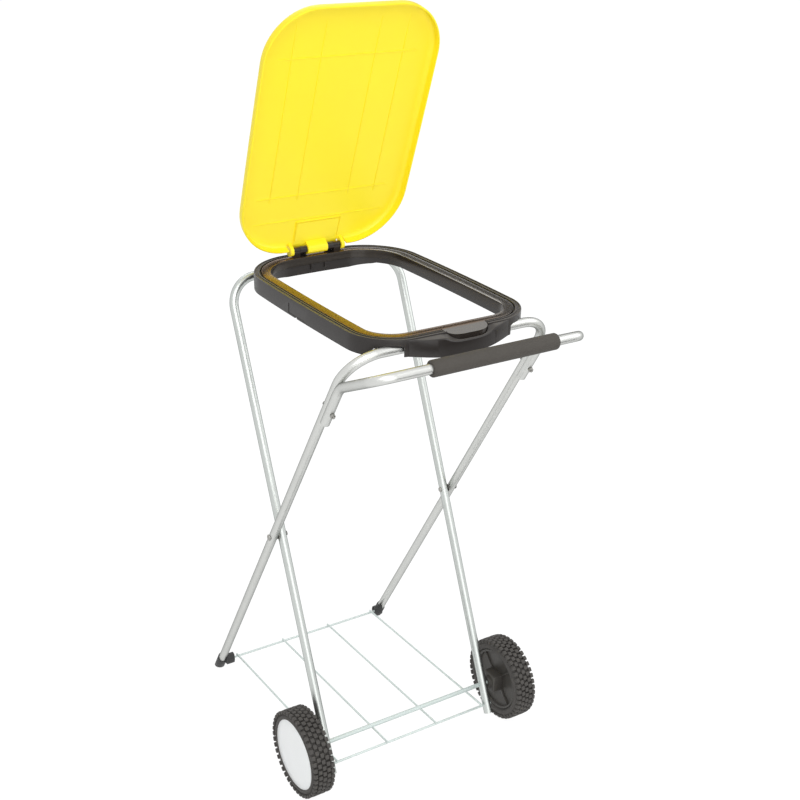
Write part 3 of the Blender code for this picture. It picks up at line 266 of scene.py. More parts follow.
def surface(name, tint, roughness, metallic=0.0, grain=1.0, relief=0.0, mottle=0.0, spread=0.0,
            turn=(0, 0, 0), stretch=(1, 1, 1), mirror=0.5, glint="#ffffff"):
    """A procedural finish. Fine noise, grain mm across, raises it by relief mm and varies its roughness
    by spread; broad noise shifts its colour by the share mottle. turn and stretch lay the grain. mirror
    is how much a plastic reflects, and glint the tint of that."""
    made = bpy.data.materials.new(name)
    made.use_nodes = True
    tree = made.node_tree
    shader = tree.nodes["Principled BSDF"]
    plain = {"Metallic": metallic, "Roughness": roughness, "Base Color": linear(tint),
             "Specular IOR Level": mirror, "Specular Tint": linear(glint)}
    for key, value in plain.items():
        shader.inputs[key].default_value = value
    where = add_node(tree, "ShaderNodeTexCoord").outputs["Object"]
    laid = add_node(tree, "ShaderNodeMapping", {"Vector": where, "Rotation": turn, "Scale": stretch})
    fine = add_node(tree, "ShaderNodeTexNoise", {"Vector": laid.outputs[0], "Scale": 1 / (grain * MM),
                                                 "Detail": 3.0, "Roughness": 0.6})
    usual = {"From Min": 0.3, "From Max": 0.7}
    if relief:
        bump = add_node(tree, "ShaderNodeBump", {"Height": fine.outputs[0], "Distance": relief * MM,
                                                 "Strength": 1.0})
        tree.links.new(bump.outputs[0], shader.inputs["Normal"])
    if spread:
        band = add_node(tree, "ShaderNodeMapRange", {"Value": fine.outputs[0], **usual,
                                                     "To Min": roughness - spread,
                                                     "To Max": roughness + spread})
        tree.links.new(band.outputs[0], shader.inputs["Roughness"])
    if mottle:
        broad = add_node(tree, "ShaderNodeTexNoise", {"Vector": where, "Scale": 1 / (40 * MM),
                                                      "Detail": 4.0, "Roughness": 0.65})
        level = add_node(tree, "ShaderNodeMapRange", {"Value": broad.outputs[0], **usual,
                                                      "To Min": 1 - mottle, "To Max": 1 + mottle})
        shaded = add_node(tree, "ShaderNodeVectorMath", {0: linear(tint)[:3], "Scale": level.outputs[0]},
                          operation="SCALE")
        tree.links.new(shaded.outputs[0], shader.inputs["Base Color"])
    return made


# The scale of the zinc's noise along a tube, which draws it out into streaks.
STREAK = 0.03


def tube_zinc(name, tint, **lay):
    """Zinc plate on drawn steel tube: bright, with faint streaks along it from the drawing."""
    return surface(name, tint, 0.36, 1.0, grain=1.6, mottle=0.03, spread=0.03, glint="#8c8e8e", **lay)


foot_up = Vector((0, -math.sin(FOOT_LEAN), math.cos(FOOT_LEAN)))
foot_over = Vector((0, math.cos(FOOT_LEAN), math.sin(FOOT_LEAN)))


def foot_leg(side, distance, offset=0.0):
    """A point on a leg of the foot frame, a distance up from the pivot, offset to its upper side."""
    return Vector((side * FOOT_FRAME_X, 0, 0)) + PIVOT + foot_up * distance + foot_over * offset


def u_tube(leg, tail, reach, bend):
    """A U of tube whose legs run from their tails, below the pivot, up to the bar between them."""
    corners = [leg(-1, -tail), leg(-1, reach), leg(1, reach), leg(1, -tail)]
    return bent_tube(corners, (bend, bend), TUBE_R, wall=TUBE_WALL)


foot_tail = (PIVOT.z - FOOT_TUBE_END_Z) / math.cos(FOOT_LEAN)
foot_frame = u_tube(foot_leg, foot_tail, FOOT_FRAME_REACH, FOOT_FRAME_BEND)
foot_frame_zinc = tube_zinc("zinc_plated_tube_foot_frame", "#d6d7d4", turn=(-FOOT_LEAN, 0, 0),
                            stretch=(1, 1, STREAK))
settle(foot_frame, "foot_frame_bent_tube", foot_frame_zinc, "zinc_plated_steel", "foot_body", "foot_frame")


# Wheel frame: the inner U of the same tube, leaning the other way. The axle passes through its legs
# above their open cut ends, and its top bar carries the ring at the hinge.
WHEEL_LEAN = math.radians(24.13)
WHEEL_FRAME_X = 174.5 * MM
WHEEL_FRAME_BEND = 52.0 * MM
WHEEL_FRAME_REACH = 457.96 * MM
WHEEL_R = 80.0 * MM
LEG_TAIL = 58.0 * MM

wheel_up = Vector((0, math.sin(WHEEL_LEAN), math.cos(WHEEL_LEAN)))


def wheel_leg(side, distance):
    """A point on a leg of the wheel frame, a distance up from the pivot."""
    return Vector((side * WHEEL_FRAME_X, 0, 0)) + PIVOT + wheel_up * distance


def wheel_leg_at(height):
    """Y of the wheel frame's legs at a height."""
    return PIVOT.y + (height - PIVOT.z) * math.tan(WHEEL_LEAN)


wheel_tail = (PIVOT.z - WHEEL_R) / math.cos(WHEEL_LEAN) + LEG_TAIL
wheel_frame = u_tube(wheel_leg, wheel_tail, WHEEL_FRAME_REACH, WHEEL_FRAME_BEND)
wheel_frame_zinc = tube_zinc("zinc_plated_tube_wheel_frame", "#c8ccc9", turn=(WHEEL_LEAN, 0, 0),
                             stretch=(1, 1, STREAK))
settle(wheel_frame, "wheel_frame_bent_tube", wheel_frame_zinc, "zinc_plated_steel", "wheel_body",
       "wheel_frame")


# Pivots: a steel rivet a side, domed outside and spread inside, set through both legs and through
# the washer that keeps them apart.
SIDES = (("left", -1), ("right", 1))
RIVET_R = 3.0 * MM
RIVET_HEAD_R = 6.0 * MM
RIVET_HEAD_H = 3.0 * MM
WASHER_R = 7.5 * MM
WASHER_T = 0.9 * MM
FIT = 0.3 * MM


def outline(points):
    """A closed loop with a vertex on each point: a circle whose vertices are placed."""
    bpy.ops.mesh.primitive_circle_add(vertices=len(points), radius=1.0)
    loop = bpy.context.object
    for vertex, point in zip(loop.data.vertices, points):
        vertex.co = point
    return loop


def turned(profile, place, axis, steps):
    """A closed profile of radius and height, spun round its axis."""
    shape = outline([(radius, 0, height) for radius, height in profile])
    edit(shape)
    bpy.ops.mesh.spin(steps=steps, angle=math.tau, center=(0, 0, 0), axis=(0, 0, 1))
    leave()
    shape.location = place
    shape.rotation_euler = Vector((0, 0, 1)).rotation_difference(Vector(axis)).to_euler()
    fix_place(shape)
    tidy(shape)
    return shape


def arc(wide, high, start, end, steps):
    """Points on an ellipse about the origin, from one angle to another."""
    angles = [start + (end - start) * step / steps for step in range(steps + 1)]
    return [(wide * math.cos(angle), high * math.sin(angle)) for angle in angles]


def dome(radius, base, height):
    """Profile points of a dome from its rim to its top."""
    points = [(x, base + z) for x, z in arc(radius, height, 0, math.pi / 2, 6)]
    return points[:-1] + [(0.0, base + height)]


# Dull zinc-plated steel of rivets, washers, bolts, nuts and clips, a little uneven in tone.
fastener_steel = surface("plated_fastener_steel", "#a3a29e", 0.4, 1.0, grain=0.8, mottle=0.08, spread=0.06)

for side_name, side in SIDES:
    head = FOOT_FRAME_X + TUBE_R + FIT * 0.5
    tail = WHEEL_FRAME_X - TUBE_R - FIT * 0.5
    profile = [(RIVET_R, tail), (RIVET_R, head), (RIVET_HEAD_R, head)]
    profile += dome(RIVET_HEAD_R, head + 0.5 * MM, RIVET_HEAD_H - 0.5 * MM)
    profile += [(0.0, tail - 1.8 * MM), (3.6 * MM, tail - 1.5 * MM), (4.6 * MM, tail - 0.6 * MM),
                (4.8 * MM, tail)]
    rivet = turned(profile, PIVOT, (side, 0, 0), 32)
    settle(rivet, "rivet_" + side_name, fastener_steel, "dark_steel", "foot_body",
           "pivot_rivet_" + side_name)
    start = WHEEL_FRAME_X + TUBE_R + FIT
    profile = [(RIVET_R + FIT, start), (WASHER_R, start), (WASHER_R, start + WASHER_T),
               (RIVET_R + FIT, start + WASHER_T)]
    washer = turned(profile, PIVOT, (side, 0, 0), 32)
    settle(washer, "washer_" + side_name, fastener_steel, "dark_steel", "foot_body",
           "pivot_washer_" + side_name)


# Foot caps: black moulded plastic, flat on the floor, scalloped round the leg, with a hooked lobe
# inwards that the shelf's rear rod drops into.
CAP_WALL = 2.6 * MM
CAP_SOCKET = 26.0 * MM
SHELF_REAR = Vector((0, 272.0 * MM, 25.0 * MM))
SHELF_EDGE_X = 161.5 * MM
CROSS_ROD_R = 2.25 * MM
LOBE = ((-6, -8), (4, -9.5), (10, -7), (11, 0), (9, 7), (6, 11), (1, 13), (-3, 13), (-6, 11),
        (-7.5, 6), (-8, 0))
SLOT_UP = Vector((0, 0.54, 0.842))


def prism(points, shift):
    """A flat outline filled and extruded by a shift."""
    shape = outline(points)
    edit(shape)
    bpy.ops.mesh.edge_face_add()
    extrude(shift)
    leave()
    tidy(shape)
    return shape


def combine(shape, other, operation="UNION"):
    """Joins another shape to this one, or cuts it away, and removes the other."""
    modify(shape, "BOOLEAN", operation=operation, solver="EXACT", object=other)
    bpy.data.objects.remove(other)


def cut(shape, other):
    """Cuts another shape out of this one."""
    combine(shape, other, "DIFFERENCE")


def soften(shape, width, segments=2, limit=40):
    """Small rounded edges wherever faces meet at more than the limit."""
    modify(shape, "BEVEL", width=width, segments=segments, limit_method="ANGLE",
           angle_limit=math.radians(limit), use_clamp_overlap=True)


def bar(start, end, radius, sides=24):
    """A straight round bar."""
    return bent_tube([start, end], (), radius, sides)


# Matt black polypropylene of the feet, with a fine moulded grain.
black_plastic = surface("black_moulded_plastic", "#2a2a2a", 0.5, grain=0.7, relief=0.02, mottle=0.12,
                        spread=0.06)

cap_r = TUBE_R + FIT + CAP_WALL - 1 * MM
floor_distance = PIVOT.z / math.cos(FOOT_LEAN)
for side_name, side in SIDES:
    low = foot_leg(side, -floor_distance - 14 * MM)
    cap = bar(low, foot_leg(side, -floor_distance + CAP_SOCKET + 8 * MM), cap_r, 40)
    for vertex in cap.data.vertices:
        from_low = vertex.co - low
        if from_low.dot(foot_up) > 20 * MM:
            vertex.co += foot_up * (4 * MM * (from_low.dot(foot_over) / cap_r) - 1 * MM)
    edit(cap)
    bpy.ops.mesh.bisect(plane_co=(0, 0, 0), plane_no=(0, 0, 1), clear_inner=True, use_fill=True)
    leave()
    inside = side * (SHELF_EDGE_X + 10 * MM)
    lobe = prism([(inside, SHELF_REAR.y + y * MM, SHELF_REAR.z + z * MM) for y, z in LOBE],
                 (side * (FOOT_FRAME_X - 4 * MM) - inside, 0, 0))
    combine(cap, lobe)
    socket_low, socket_high = foot_leg(side, -foot_tail - FIT), foot_leg(side, -foot_tail + 60 * MM)
    cut(cap, bar(socket_low, socket_high, TUBE_R + 0.15 * MM, 36))
    across = Vector((0, SLOT_UP.z, -SLOT_UP.y))
    seat = CROSS_ROD_R + FIT
    start = Vector((side * (SHELF_EDGE_X - 2 * MM), SHELF_REAR.y, SHELF_REAR.z))
    points = [start + across * wide + SLOT_UP * high
              for wide, high in arc(seat, seat, math.pi, math.tau, 8)]
    mouth = start + SLOT_UP * 34 * MM
    points += [mouth + across * seat * 1.9, mouth - across * seat * 1.9]
    slot_end = side * (FOOT_FRAME_X - TUBE_R - FIT - CAP_WALL + 0.4 * MM)
    cut(cap, prism(points, (slot_end - start.x, 0, 0)))
    tidy(cap)
    soften(cap, 0.7 * MM)
    settle(cap, "foot_cap_moulding_" + side_name, black_plastic, "black_plastic", "foot_body",
           "foot_cap_" + side_name)


# Handle: the same tube bent to a U with an elbow in each arm. Its two ends are pressed into saddles
# that hug the foot frame's legs from below.
HANDLE_Y = -292.979 * MM
HANDLE_Z = 854.046 * MM
HANDLE_CORNER = 30.0 * MM
HANDLE_ELBOW = 45.0 * MM
SADDLE_OFFSET = 8.7 * MM
ARM_FOOT = 347.0 * MM
ARM_LEAVES = 434.0 * MM
SADDLE_R = TUBE_R + 0.35 * MM

handle_zinc = tube_zinc("zinc_plated_tube_handle", "#d6d7d4", stretch=(STREAK, 1, 1))
corners = [foot_leg(-1, ARM_FOOT, -SADDLE_OFFSET), foot_leg(-1, ARM_LEAVES, -SADDLE_OFFSET),
           (-FOOT_FRAME_X, HANDLE_Y, HANDLE_Z), (FOOT_FRAME_X, HANDLE_Y, HANDLE_Z),
           foot_leg(1, ARM_LEAVES, -SADDLE_OFFSET), foot_leg(1, ARM_FOOT, -SADDLE_OFFSET)]
handle = bent_tube(corners, (HANDLE_ELBOW, HANDLE_CORNER, HANDLE_CORNER, HANDLE_ELBOW), TUBE_R)
for vertex in handle.data.vertices:
    side = 1 if vertex.co.x > 0 else -1
    along = (vertex.co - foot_leg(side, 0)).dot(foot_up)
    nearest = foot_leg(side, along)
    if along > FOOT_FRAME_REACH - FOOT_FRAME_BEND:
        centre = foot_leg(side, FOOT_FRAME_REACH - FOOT_FRAME_BEND) - Vector((side * FOOT_FRAME_BEND, 0, 0))
        spoke = vertex.co - centre
        nearest = centre + (spoke - foot_over * spoke.dot(foot_over)).normalized() * FOOT_FRAME_BEND
    away = vertex.co - nearest
    if away.length < SADDLE_R:
        vertex.co += away.normalized() * (SADDLE_R - away.length)
tidy(handle)
settle(handle, "handle_bent_tube", handle_zinc, "zinc_plated_steel", "foot_body", "handle_tube")


# Grip: a sleeve of dark grey closed-cell foam with soft ends, pushed over the handle and set off its
# middle.
GRIP_R = 13.2 * MM
GRIP_FROM = -102.0 * MM
GRIP_TO = 131.0 * MM
GRIP_EDGE = 3.0 * MM

# Closed-cell foam: dull, with skin pores too small to show, so its noise is coarser than the pores.
foam = surface("grip_foam_skin", "#46423d", 0.78, grain=1.4, relief=0.10, mottle=0.07, spread=0.08)
profile = [(TUBE_R + 0.1 * MM, GRIP_TO), (TUBE_R + 0.1 * MM, GRIP_FROM)]
for end, towards in ((GRIP_FROM, 1), (GRIP_TO, -1)):
    edge = [(GRIP_R - GRIP_EDGE + high, end + towards * (GRIP_EDGE - wide))
            for wide, high in arc(GRIP_EDGE, GRIP_EDGE, 0, math.pi / 2, 5)]
    profile += edge if towards > 0 else edge[::-1]
grip = turned(profile, (0, HANDLE_Y, HANDLE_Z), (1, 0, 0), 56)
settle(grip, "handle_foam_grip", foam, "grip_foam", "foot_body", "handle_grip")


# Handle fasteners: a domed plated steel bolt through each leg and saddle, held by a hexagon nut
# below.
BOLT_AT = 377.0 * MM
BOLT_R = 2.4 * MM
BOLT_HEAD_R = 4.6 * MM
BOLT_HEAD_H = 3.0 * MM
NUT_R = 4.8 * MM
NUT_T = 4.0 * MM

arm_face = SADDLE_OFFSET + TUBE_R + FIT
nut_end = -arm_face - NUT_T
for side_name, side in SIDES:
    centre = foot_leg(side, BOLT_AT)
    profile = [(BOLT_R, nut_end - 2 * MM), (BOLT_R, TUBE_R), (BOLT_HEAD_R, TUBE_R)]
    profile += dome(BOLT_HEAD_R, TUBE_R + 0.6 * MM, BOLT_HEAD_H - 0.6 * MM)
    profile += [(0.0, nut_end - 2 * MM)]
    bolt = turned(profile, centre, foot_over, 28)
    settle(bolt, "bolt_" + side_name, fastener_steel, "dark_steel", "foot_body", "handle_bolt_" + side_name)
    profile = [(BOLT_R + 0.1 * MM, -arm_face), (NUT_R, -arm_face), (NUT_R, nut_end),
               (BOLT_R + 0.1 * MM, nut_end)]
    nut = turned(profile, centre, foot_over, 6)
    soften(nut, 0.4 * MM)
    settle(nut, "nut_" + side_name, fastener_steel, "dark_steel", "foot_body", "handle_nut_" + side_name)


# Axle: one straight zinc-plated steel bar through both legs and both wheels, which turn on it. A
# domed clip pressed on each end keeps the wheel on.
AXLE_R = 4.0 * MM
AXLE_END = 235.5 * MM
AXLE_CLIP_R = 8.0 * MM
AXLE_CLIP_H = 1.6 * MM
WHEEL_INNER_X = 201.5 * MM
HUB_DEPTH = 30.0 * MM
AXLE_Y = wheel_leg_at(WHEEL_R)

# Zinc plate on a drawn bar: dull and pale, with faint streaks along it.
axle_zinc = surface("zinc_plated_axle", "#ccd6d3", 0.55, 0.45, grain=1.2, mottle=0.03, spread=0.03,
                    glint="#6c6e6e", stretch=(STREAK, 1, 1))
axle = bar((-AXLE_END, AXLE_Y, WHEEL_R), (AXLE_END, AXLE_Y, WHEEL_R), AXLE_R, 28)
soften(axle, 0.5 * MM)
settle(axle, "axle_bar", axle_zinc, "zinc_plated_steel", "wheel_body", "axle")
wheel_centre = Vector((0, AXLE_Y, WHEEL_R))
start = WHEEL_INNER_X + HUB_DEPTH + FIT
profile = [(AXLE_R + 0.1 * MM, start), (AXLE_CLIP_R, start), (AXLE_CLIP_R, start + 0.5 * MM),
           (AXLE_CLIP_R * 0.7, start + AXLE_CLIP_H), (AXLE_R + 0.1 * MM, start + AXLE_CLIP_H)]
for side_name, side in SIDES:
    clip = turned(profile, wheel_centre, (side, 0, 0), 32)
    settle(clip, "axle_clip_dome_" + side_name, fastener_steel, "dark_steel", "wheel_body",
           "axle_clip_" + side_name)


# Tyres: solid black-brown rubber moulded in one and stretched over the rims, with five staggered rows
# of square lugs and ribbed shoulders.
TYRE_BORE_R = 59.9 * MM
BEAD_R = 66.0 * MM
TREAD_DEPTH = 5.0 * MM
TYRE_INWARD = 1.0 * MM
LUG_PITCHES = 42
LUG_ROWS = (3.1 * MM, 11.4 * MM, 19.7 * MM, 28.0 * MM, 36.3 * MM)
LUG_LENGTH = 8.0 * MM
LUG_WIDTH = 7.4 * MM
LUG_EDGE = 1.2 * MM


def turn_about(shape, angle, centre):
    """Turns a shape round the wheel's axle."""
    edit(shape)
    bpy.ops.transform.rotate(value=angle, orient_axis="X", center_override=centre)
    leave()


def copies_round(shape, count, centre):
    """Repeats a shape round the wheel's axle, as parts of one mesh."""
    edit(shape)
    bpy.ops.mesh.spin(steps=count - 1, angle=math.tau * (count - 1) / count, center=centre,
                      axis=(1, 0, 0), dupli=True)
    leave()


def join(*shapes):
    """Joins meshes to the first one."""
    only(*shapes)
    bpy.ops.object.join()
    return shapes[0]


def block(low, high, edge=0.0, segments=2):
    """A box between two corners, with rounded edges."""
    low, high = Vector(low), Vector(high)
    bpy.ops.mesh.primitive_cube_add(size=1.0, location=(low + high) / 2)
    shape = bpy.context.object
    shape.scale = high - low
    fix_place(shape)
    if edge:
        modify(shape, "BEVEL", width=edge, segments=segments, limit_method="NONE")
    return shape


# Tyre rubber: dull black-brown, with a slight bloom.
rubber = surface("tyre_rubber_compound", "#45423f", 0.72, grain=1.2, relief=0.05, mottle=0.10, spread=0.08)

base, bead = WHEEL_R - TREAD_DEPTH, BEAD_R
profile = [(TYRE_BORE_R, 4 * MM), (bead - 4 * MM, 0.2 * MM), (bead - 3 * MM, -0.6 * MM),
           (bead - 1 * MM, -TYRE_INWARD), (bead, -TYRE_INWARD), (bead + 1.2 * MM, 0.8 * MM - TYRE_INWARD),
           (bead + 2.0 * MM, 1.0 * MM - TYRE_INWARD), (base - 4 * MM, 1.2 * MM - TYRE_INWARD),
           (base - 1.2 * MM, 3.2 * MM - TYRE_INWARD), (base, 6 * MM - TYRE_INWARD),
           (base, 33 * MM), (base - 1.2 * MM, 36.6 * MM), (base - 4 * MM, 38.6 * MM),
           (bead + 2.0 * MM, 39.2 * MM), (bead + 1.2 * MM, 39.8 * MM), (bead, 40 * MM),
           (bead - 1.6 * MM, 38.4 * MM), (bead - 1.6 * MM, 36 * MM), (TYRE_BORE_R, 36 * MM)]
for side_name, side in SIDES:
    parts = [turned([(radius, WHEEL_INNER_X + depth) for radius, depth in profile], wheel_centre,
                    (side, 0, 0), 120)]
    for index, place in enumerate(LUG_ROWS):
        lug = block((-LUG_WIDTH / 2, -LUG_LENGTH / 2, base - 1.5 * MM),
                    (LUG_WIDTH / 2, LUG_LENGTH / 2, WHEEL_R), LUG_EDGE)
        if index in (0, len(LUG_ROWS) - 1):
            outward = -1 if index == 0 else 1
            for vertex in lug.data.vertices:
                if vertex.co.x * outward > 2 * MM:
                    vertex.co.z -= 2.6 * MM * (vertex.co.x * outward - 2 * MM) / (2.1 * MM)
        lug.location = (side * (WHEEL_INNER_X + place), AXLE_Y, WHEEL_R)
        fix_place(lug)
        turn_about(lug, math.pi / LUG_PITCHES * (index % 2), wheel_centre)
        copies_round(lug, LUG_PITCHES, wheel_centre)
        parts.append(lug)
    for face in (1.1 * MM - TYRE_INWARD, 38.8 * MM):
        x = side * (WHEEL_INNER_X + face)
        rib = block((x - 0.4 * MM, AXLE_Y - 0.5 * MM, WHEEL_R + bead + 4 * MM),
                    (x + 0.4 * MM, AXLE_Y + 0.5 * MM, WHEEL_R + base - 2.2 * MM), 0.25 * MM, 1)
        copies_round(rib, 2 * LUG_PITCHES, wheel_centre)
        parts.append(rib)
    tyre = join(*parts)
    settle(tyre, "tyre_tread_" + side_name, rubber, "tyre_rubber", "wheel_" + side_name, "tyre_" + side_name)


# Wheel rims: charcoal moulded plastic that turns on the axle. On the inner side a square hub block
# stands in a shallow web, with four ribs from it to the rim.
BOSS_R = 13.0 * MM
RIM_R = TYRE_BORE_R - FIT
HUB_HALF = 17.0 * MM
AXLE_BORE_R = AXLE_R + 0.15 * MM
RIM_RIB_TURNS = (45, 135, 225, 315)

across_x = Vector((1, 0, 0))


def span(side, near, far):
    """X from near to far on one side of the middle, the lower value first."""
    return sorted((side * near, side * far))


# Charcoal moulded plastic of the rims, a little lighter than the feet.
rim_plastic = surface("charcoal_rim_plastic", "#3f3c38", 0.5, grain=0.9, relief=0.01, mottle=0.08,
                      spread=0.05)
boss_start, inner = WHEEL_FRAME_X + TUBE_R + 1.2 * MM, WHEEL_INNER_X
profile = [(AXLE_BORE_R, boss_start), (BOSS_R - 1.6 * MM, boss_start),
           (BOSS_R - 1 * MM, boss_start + 0.6 * MM), (BOSS_R - 0.6 * MM, inner + 9 * MM),
           (RIM_R - 7 * MM, inner + 9 * MM), (RIM_R - 5.6 * MM, inner + 8.4 * MM),
           (RIM_R - 4.6 * MM, inner + 3.4 * MM), (RIM_R - 3.8 * MM, inner + 2.6 * MM),
           (RIM_R - 0.5 * MM, inner + 2.6 * MM), (RIM_R, inner + 3.2 * MM),
           (RIM_R, inner + 34 * MM), (RIM_R - 6 * MM, inner + 34 * MM), (RIM_R - 8 * MM, inner + HUB_DEPTH),
           (AXLE_BORE_R, inner + HUB_DEPTH)]
for side_name, side in SIDES:
    rim = turned(profile, wheel_centre, (side, 0, 0), 72)
    low, high = span(side, inner - 13 * MM, inner + 10 * MM)
    hub = block((low, AXLE_Y - HUB_HALF, WHEEL_R - HUB_HALF), (high, AXLE_Y + HUB_HALF, WHEEL_R + HUB_HALF),
                2.5 * MM, 4)
    through = across_x * 400 * MM
    cut(hub, bar(wheel_centre - through, wheel_centre + through, AXLE_BORE_R))
    parts = [rim, hub]
    low, high = span(side, inner + 5.5 * MM, inner + 10 * MM)
    for turn in RIM_RIB_TURNS:
        rib = block((low, AXLE_Y - 1.1 * MM, WHEEL_R + HUB_HALF),
                    (high, AXLE_Y + 1.1 * MM, WHEEL_R + RIM_R - 5 * MM), 0.5 * MM)
        turn_about(rib, math.radians(turn), wheel_centre)
        parts.append(rib)
    rim = join(*parts)
    settle(rim, "rim_moulding_" + side_name, rim_plastic, "black_plastic", "wheel_" + side_name,
           "wheel_rim_" + side_name)


# Hub discs: off-white plastic, very slightly domed, with a skirt behind that snaps into the rim. They
# cover the clips.
CAP_R = 65.0 * MM

# Smooth off-white plastic, with a soft gloss.
white_plastic = surface("white_hub_plastic", "#f1f2f1", 0.36, grain=2.0, relief=0.01, mottle=0.01,
                        spread=0.03)
face = WHEEL_INNER_X + 36 * MM + FIT
profile = [(CAP_R - 0.4 * MM, face), (CAP_R, face + 0.4 * MM), (CAP_R - 0.5 * MM, face + 1.4 * MM),
           (CAP_R - 1.6 * MM, face + 2.0 * MM), (CAP_R * 0.7, face + 3.1 * MM), (0.0, face + 3.6 * MM),
           (0.0, face + 1.4 * MM), (RIM_R - 10 * MM, face + 1.2 * MM), (RIM_R - 10 * MM, face - 3.4 * MM),
           (RIM_R - 8.6 * MM, face - 3.4 * MM), (RIM_R - 8.3 * MM, face)]
for side_name, side in SIDES:
    disc = turned(profile, wheel_centre, (side, 0, 0), 96)
    settle(disc, "hub_disc_" + side_name, white_plastic, "white_plastic", "wheel_" + side_name,
           "hub_cap_" + side_name)


# Shelf: galvanised wires resistance-welded to two cross rods; the front rod turns in the wheel
# frame's legs and the rear rod drops into the feet.
SHELF_FRONT = Vector((0, wheel_leg_at(42.4 * MM), 42.4 * MM))
LONG_ROD_R = 2.0 * MM
SHELF_MIDDLE_X = 54.5 * MM
WIRE_PLACES = (-SHELF_EDGE_X, -SHELF_MIDDLE_X, SHELF_MIDDLE_X, SHELF_EDGE_X)
WIRE_PAST_ROD = 3.5 * MM
WELD_DEPTH = 0.9 * MM
WELD_BEAD = (2.9 * MM, 2.7 * MM, 1.2 * MM)

# Dull pale zinc coat with a faint green cast.
galvanised = surface("galvanised_wire_coat", "#d2dbd8", 0.6, 0.35, grain=2.5, mottle=0.05, spread=0.05)
front_end = across_x * (WHEEL_FRAME_X + TUBE_R + 1.5 * MM)
rear_end = across_x * (FOOT_FRAME_X - TUBE_R - FIT - CAP_WALL)
wires = [bar(SHELF_FRONT - front_end, SHELF_FRONT + front_end, CROSS_ROD_R, 20),
         bar(SHELF_REAR - rear_end, SHELF_REAR + rear_end, CROSS_ROD_R, 20)]
run = (SHELF_REAR - SHELF_FRONT).normalized()
above = Vector((0, -run.z, run.y)) * (CROSS_ROD_R + LONG_ROD_R - WELD_DEPTH)
for x in WIRE_PLACES:
    start, end = [rod + across_x * x + above for rod in (SHELF_FRONT, SHELF_REAR)]
    wires.append(bar(start - run * WIRE_PAST_ROD, end + run * WIRE_PAST_ROD, LONG_ROD_R, 20))
for wire in wires:
    soften(wire, 0.5 * MM)
for x in WIRE_PLACES:
    for rod in (SHELF_FRONT, SHELF_REAR):
        bpy.ops.mesh.primitive_uv_sphere_add(segments=16, ring_count=8, radius=1.0,
                                             location=rod + across_x * x + above * 0.55)
        weld = bpy.context.object
        weld.scale = WELD_BEAD
        fix_place(weld)
        wires.append(weld)
shelf = join(*wires)
settle(shelf, "shelf_wires", galvanised, "galvanised_wire", "shelf_body", "wire_shelf")


# Ring: dark grey moulding that sits on both tube bars. Its flat land runs round a sunk deck for the
# clamp; the front carries an apron over the saddles, with a pocket for the clamp's thumb tab.
RING_TOP = 875.346 * MM
RING_H = 28.7 * MM
RING_FRONT = -221.679 * MM
RING_BACK = 240.219 * MM
RING_HALF = 154.8 * MM
RING_FRONT_CORNER = 74.6 * MM
RING_BACK_CORNER = 100.0 * MM
RING_BOWS = (5.8 * MM, 1.7 * MM)
RING_WALL = 2.4 * MM
LAND_W = 10.2 * MM
DECK_DROP = 5.0 * MM
BAND_W = 26.8 * MM
FRONT_BAR = foot_leg(0, FOOT_FRAME_REACH)
BACK_BAR = wheel_leg(0, WHEEL_FRAME_REACH)
SADDLE_WEBS = (-88.0 * MM, -40.0 * MM, 40.0 * MM, 88.0 * MM)
CLIP_WEBS = (-75.0 * MM, -14.0 * MM, 14.0 * MM, 75.0 * MM)
HINGE = Vector((0, 226.519 * MM, 885.446 * MM))
KNUCKLE_R = 6.4 * MM
RING_KNUCKLE = (20.5 * MM, 34.2 * MM)
APRON_HALF = 93.0 * MM
APRON_REACH = 17.5 * MM
TAB_X = 13.5 * MM
TAB_HALF = 40.0 * MM
TAB_REACH = 12.0 * MM
BACK_DRAWN = 2.6 * MM
BACK_DEEPER = 7.5 * MM
BACK_SPAN = 120.0 * MM
INNER_WALL_H = 25.5 * MM
APRON_DIP = 7.0 * MM
APRON_WALL = 2.6 * MM
POCKET_DEPTH = 16.0 * MM
ARCH_DROP = 10.3 * MM
ARCH_FROM = 15
ARCH_SPAN = 37
WEB_T = 4.0 * MM
BAR_GROOVE_R = TUBE_R + 0.2 * MM
PIN_HALF = 57.5 * MM
PIN_BORE_R = 2.1 * MM


def soft_loop(section, half, front, back, front_corner, back_corner, bows, closed=True):
    """A section of inset and height run round a rectangle with round corners, whose sides then bow."""
    base = outline([(half - inset, front + front_corner, height) for inset, height in section])
    if not closed:
        ends = {0, len(section) - 1}
        for item in base.data.edges:
            item.select = set(item.vertices) == ends
        for item in base.data.vertices:
            item.select = False
        only(base)
        bpy.ops.object.mode_set(mode="EDIT")
        bpy.ops.mesh.select_mode(type="EDGE")
        bpy.ops.mesh.delete(type="EDGE")
        bpy.ops.mesh.select_mode(type="VERT")
        leave()
    edit(base)
    depth = back - front
    runs = ((0, depth - front_corner - back_corner, half - back_corner, back - back_corner),
            (-2 * (half - back_corner), 0, -half + back_corner, back - back_corner),
            (0, front_corner + back_corner - depth, -half + front_corner, front + front_corner),
            (2 * (half - front_corner), 0, half - front_corner, front + front_corner))
    for x, y, centre_x, centre_y in runs:
        extrude((x, y, 0), 8)
        bpy.ops.mesh.spin(steps=16, angle=math.radians(90), center=(centre_x, centre_y, 0),
                          axis=(0, 0, -1))
    leave()
    tidy(base)
    side_bow, end_bow = bows
    middle = (front + back) / 2
    for vertex in base.data.vertices:
        across, along = vertex.co.x / half, (vertex.co.y - middle) / (depth / 2)
        vertex.co.x += side_bow * (1 - along * along) * across
        vertex.co.y += end_bow * (1 - across * across) * along
    return base


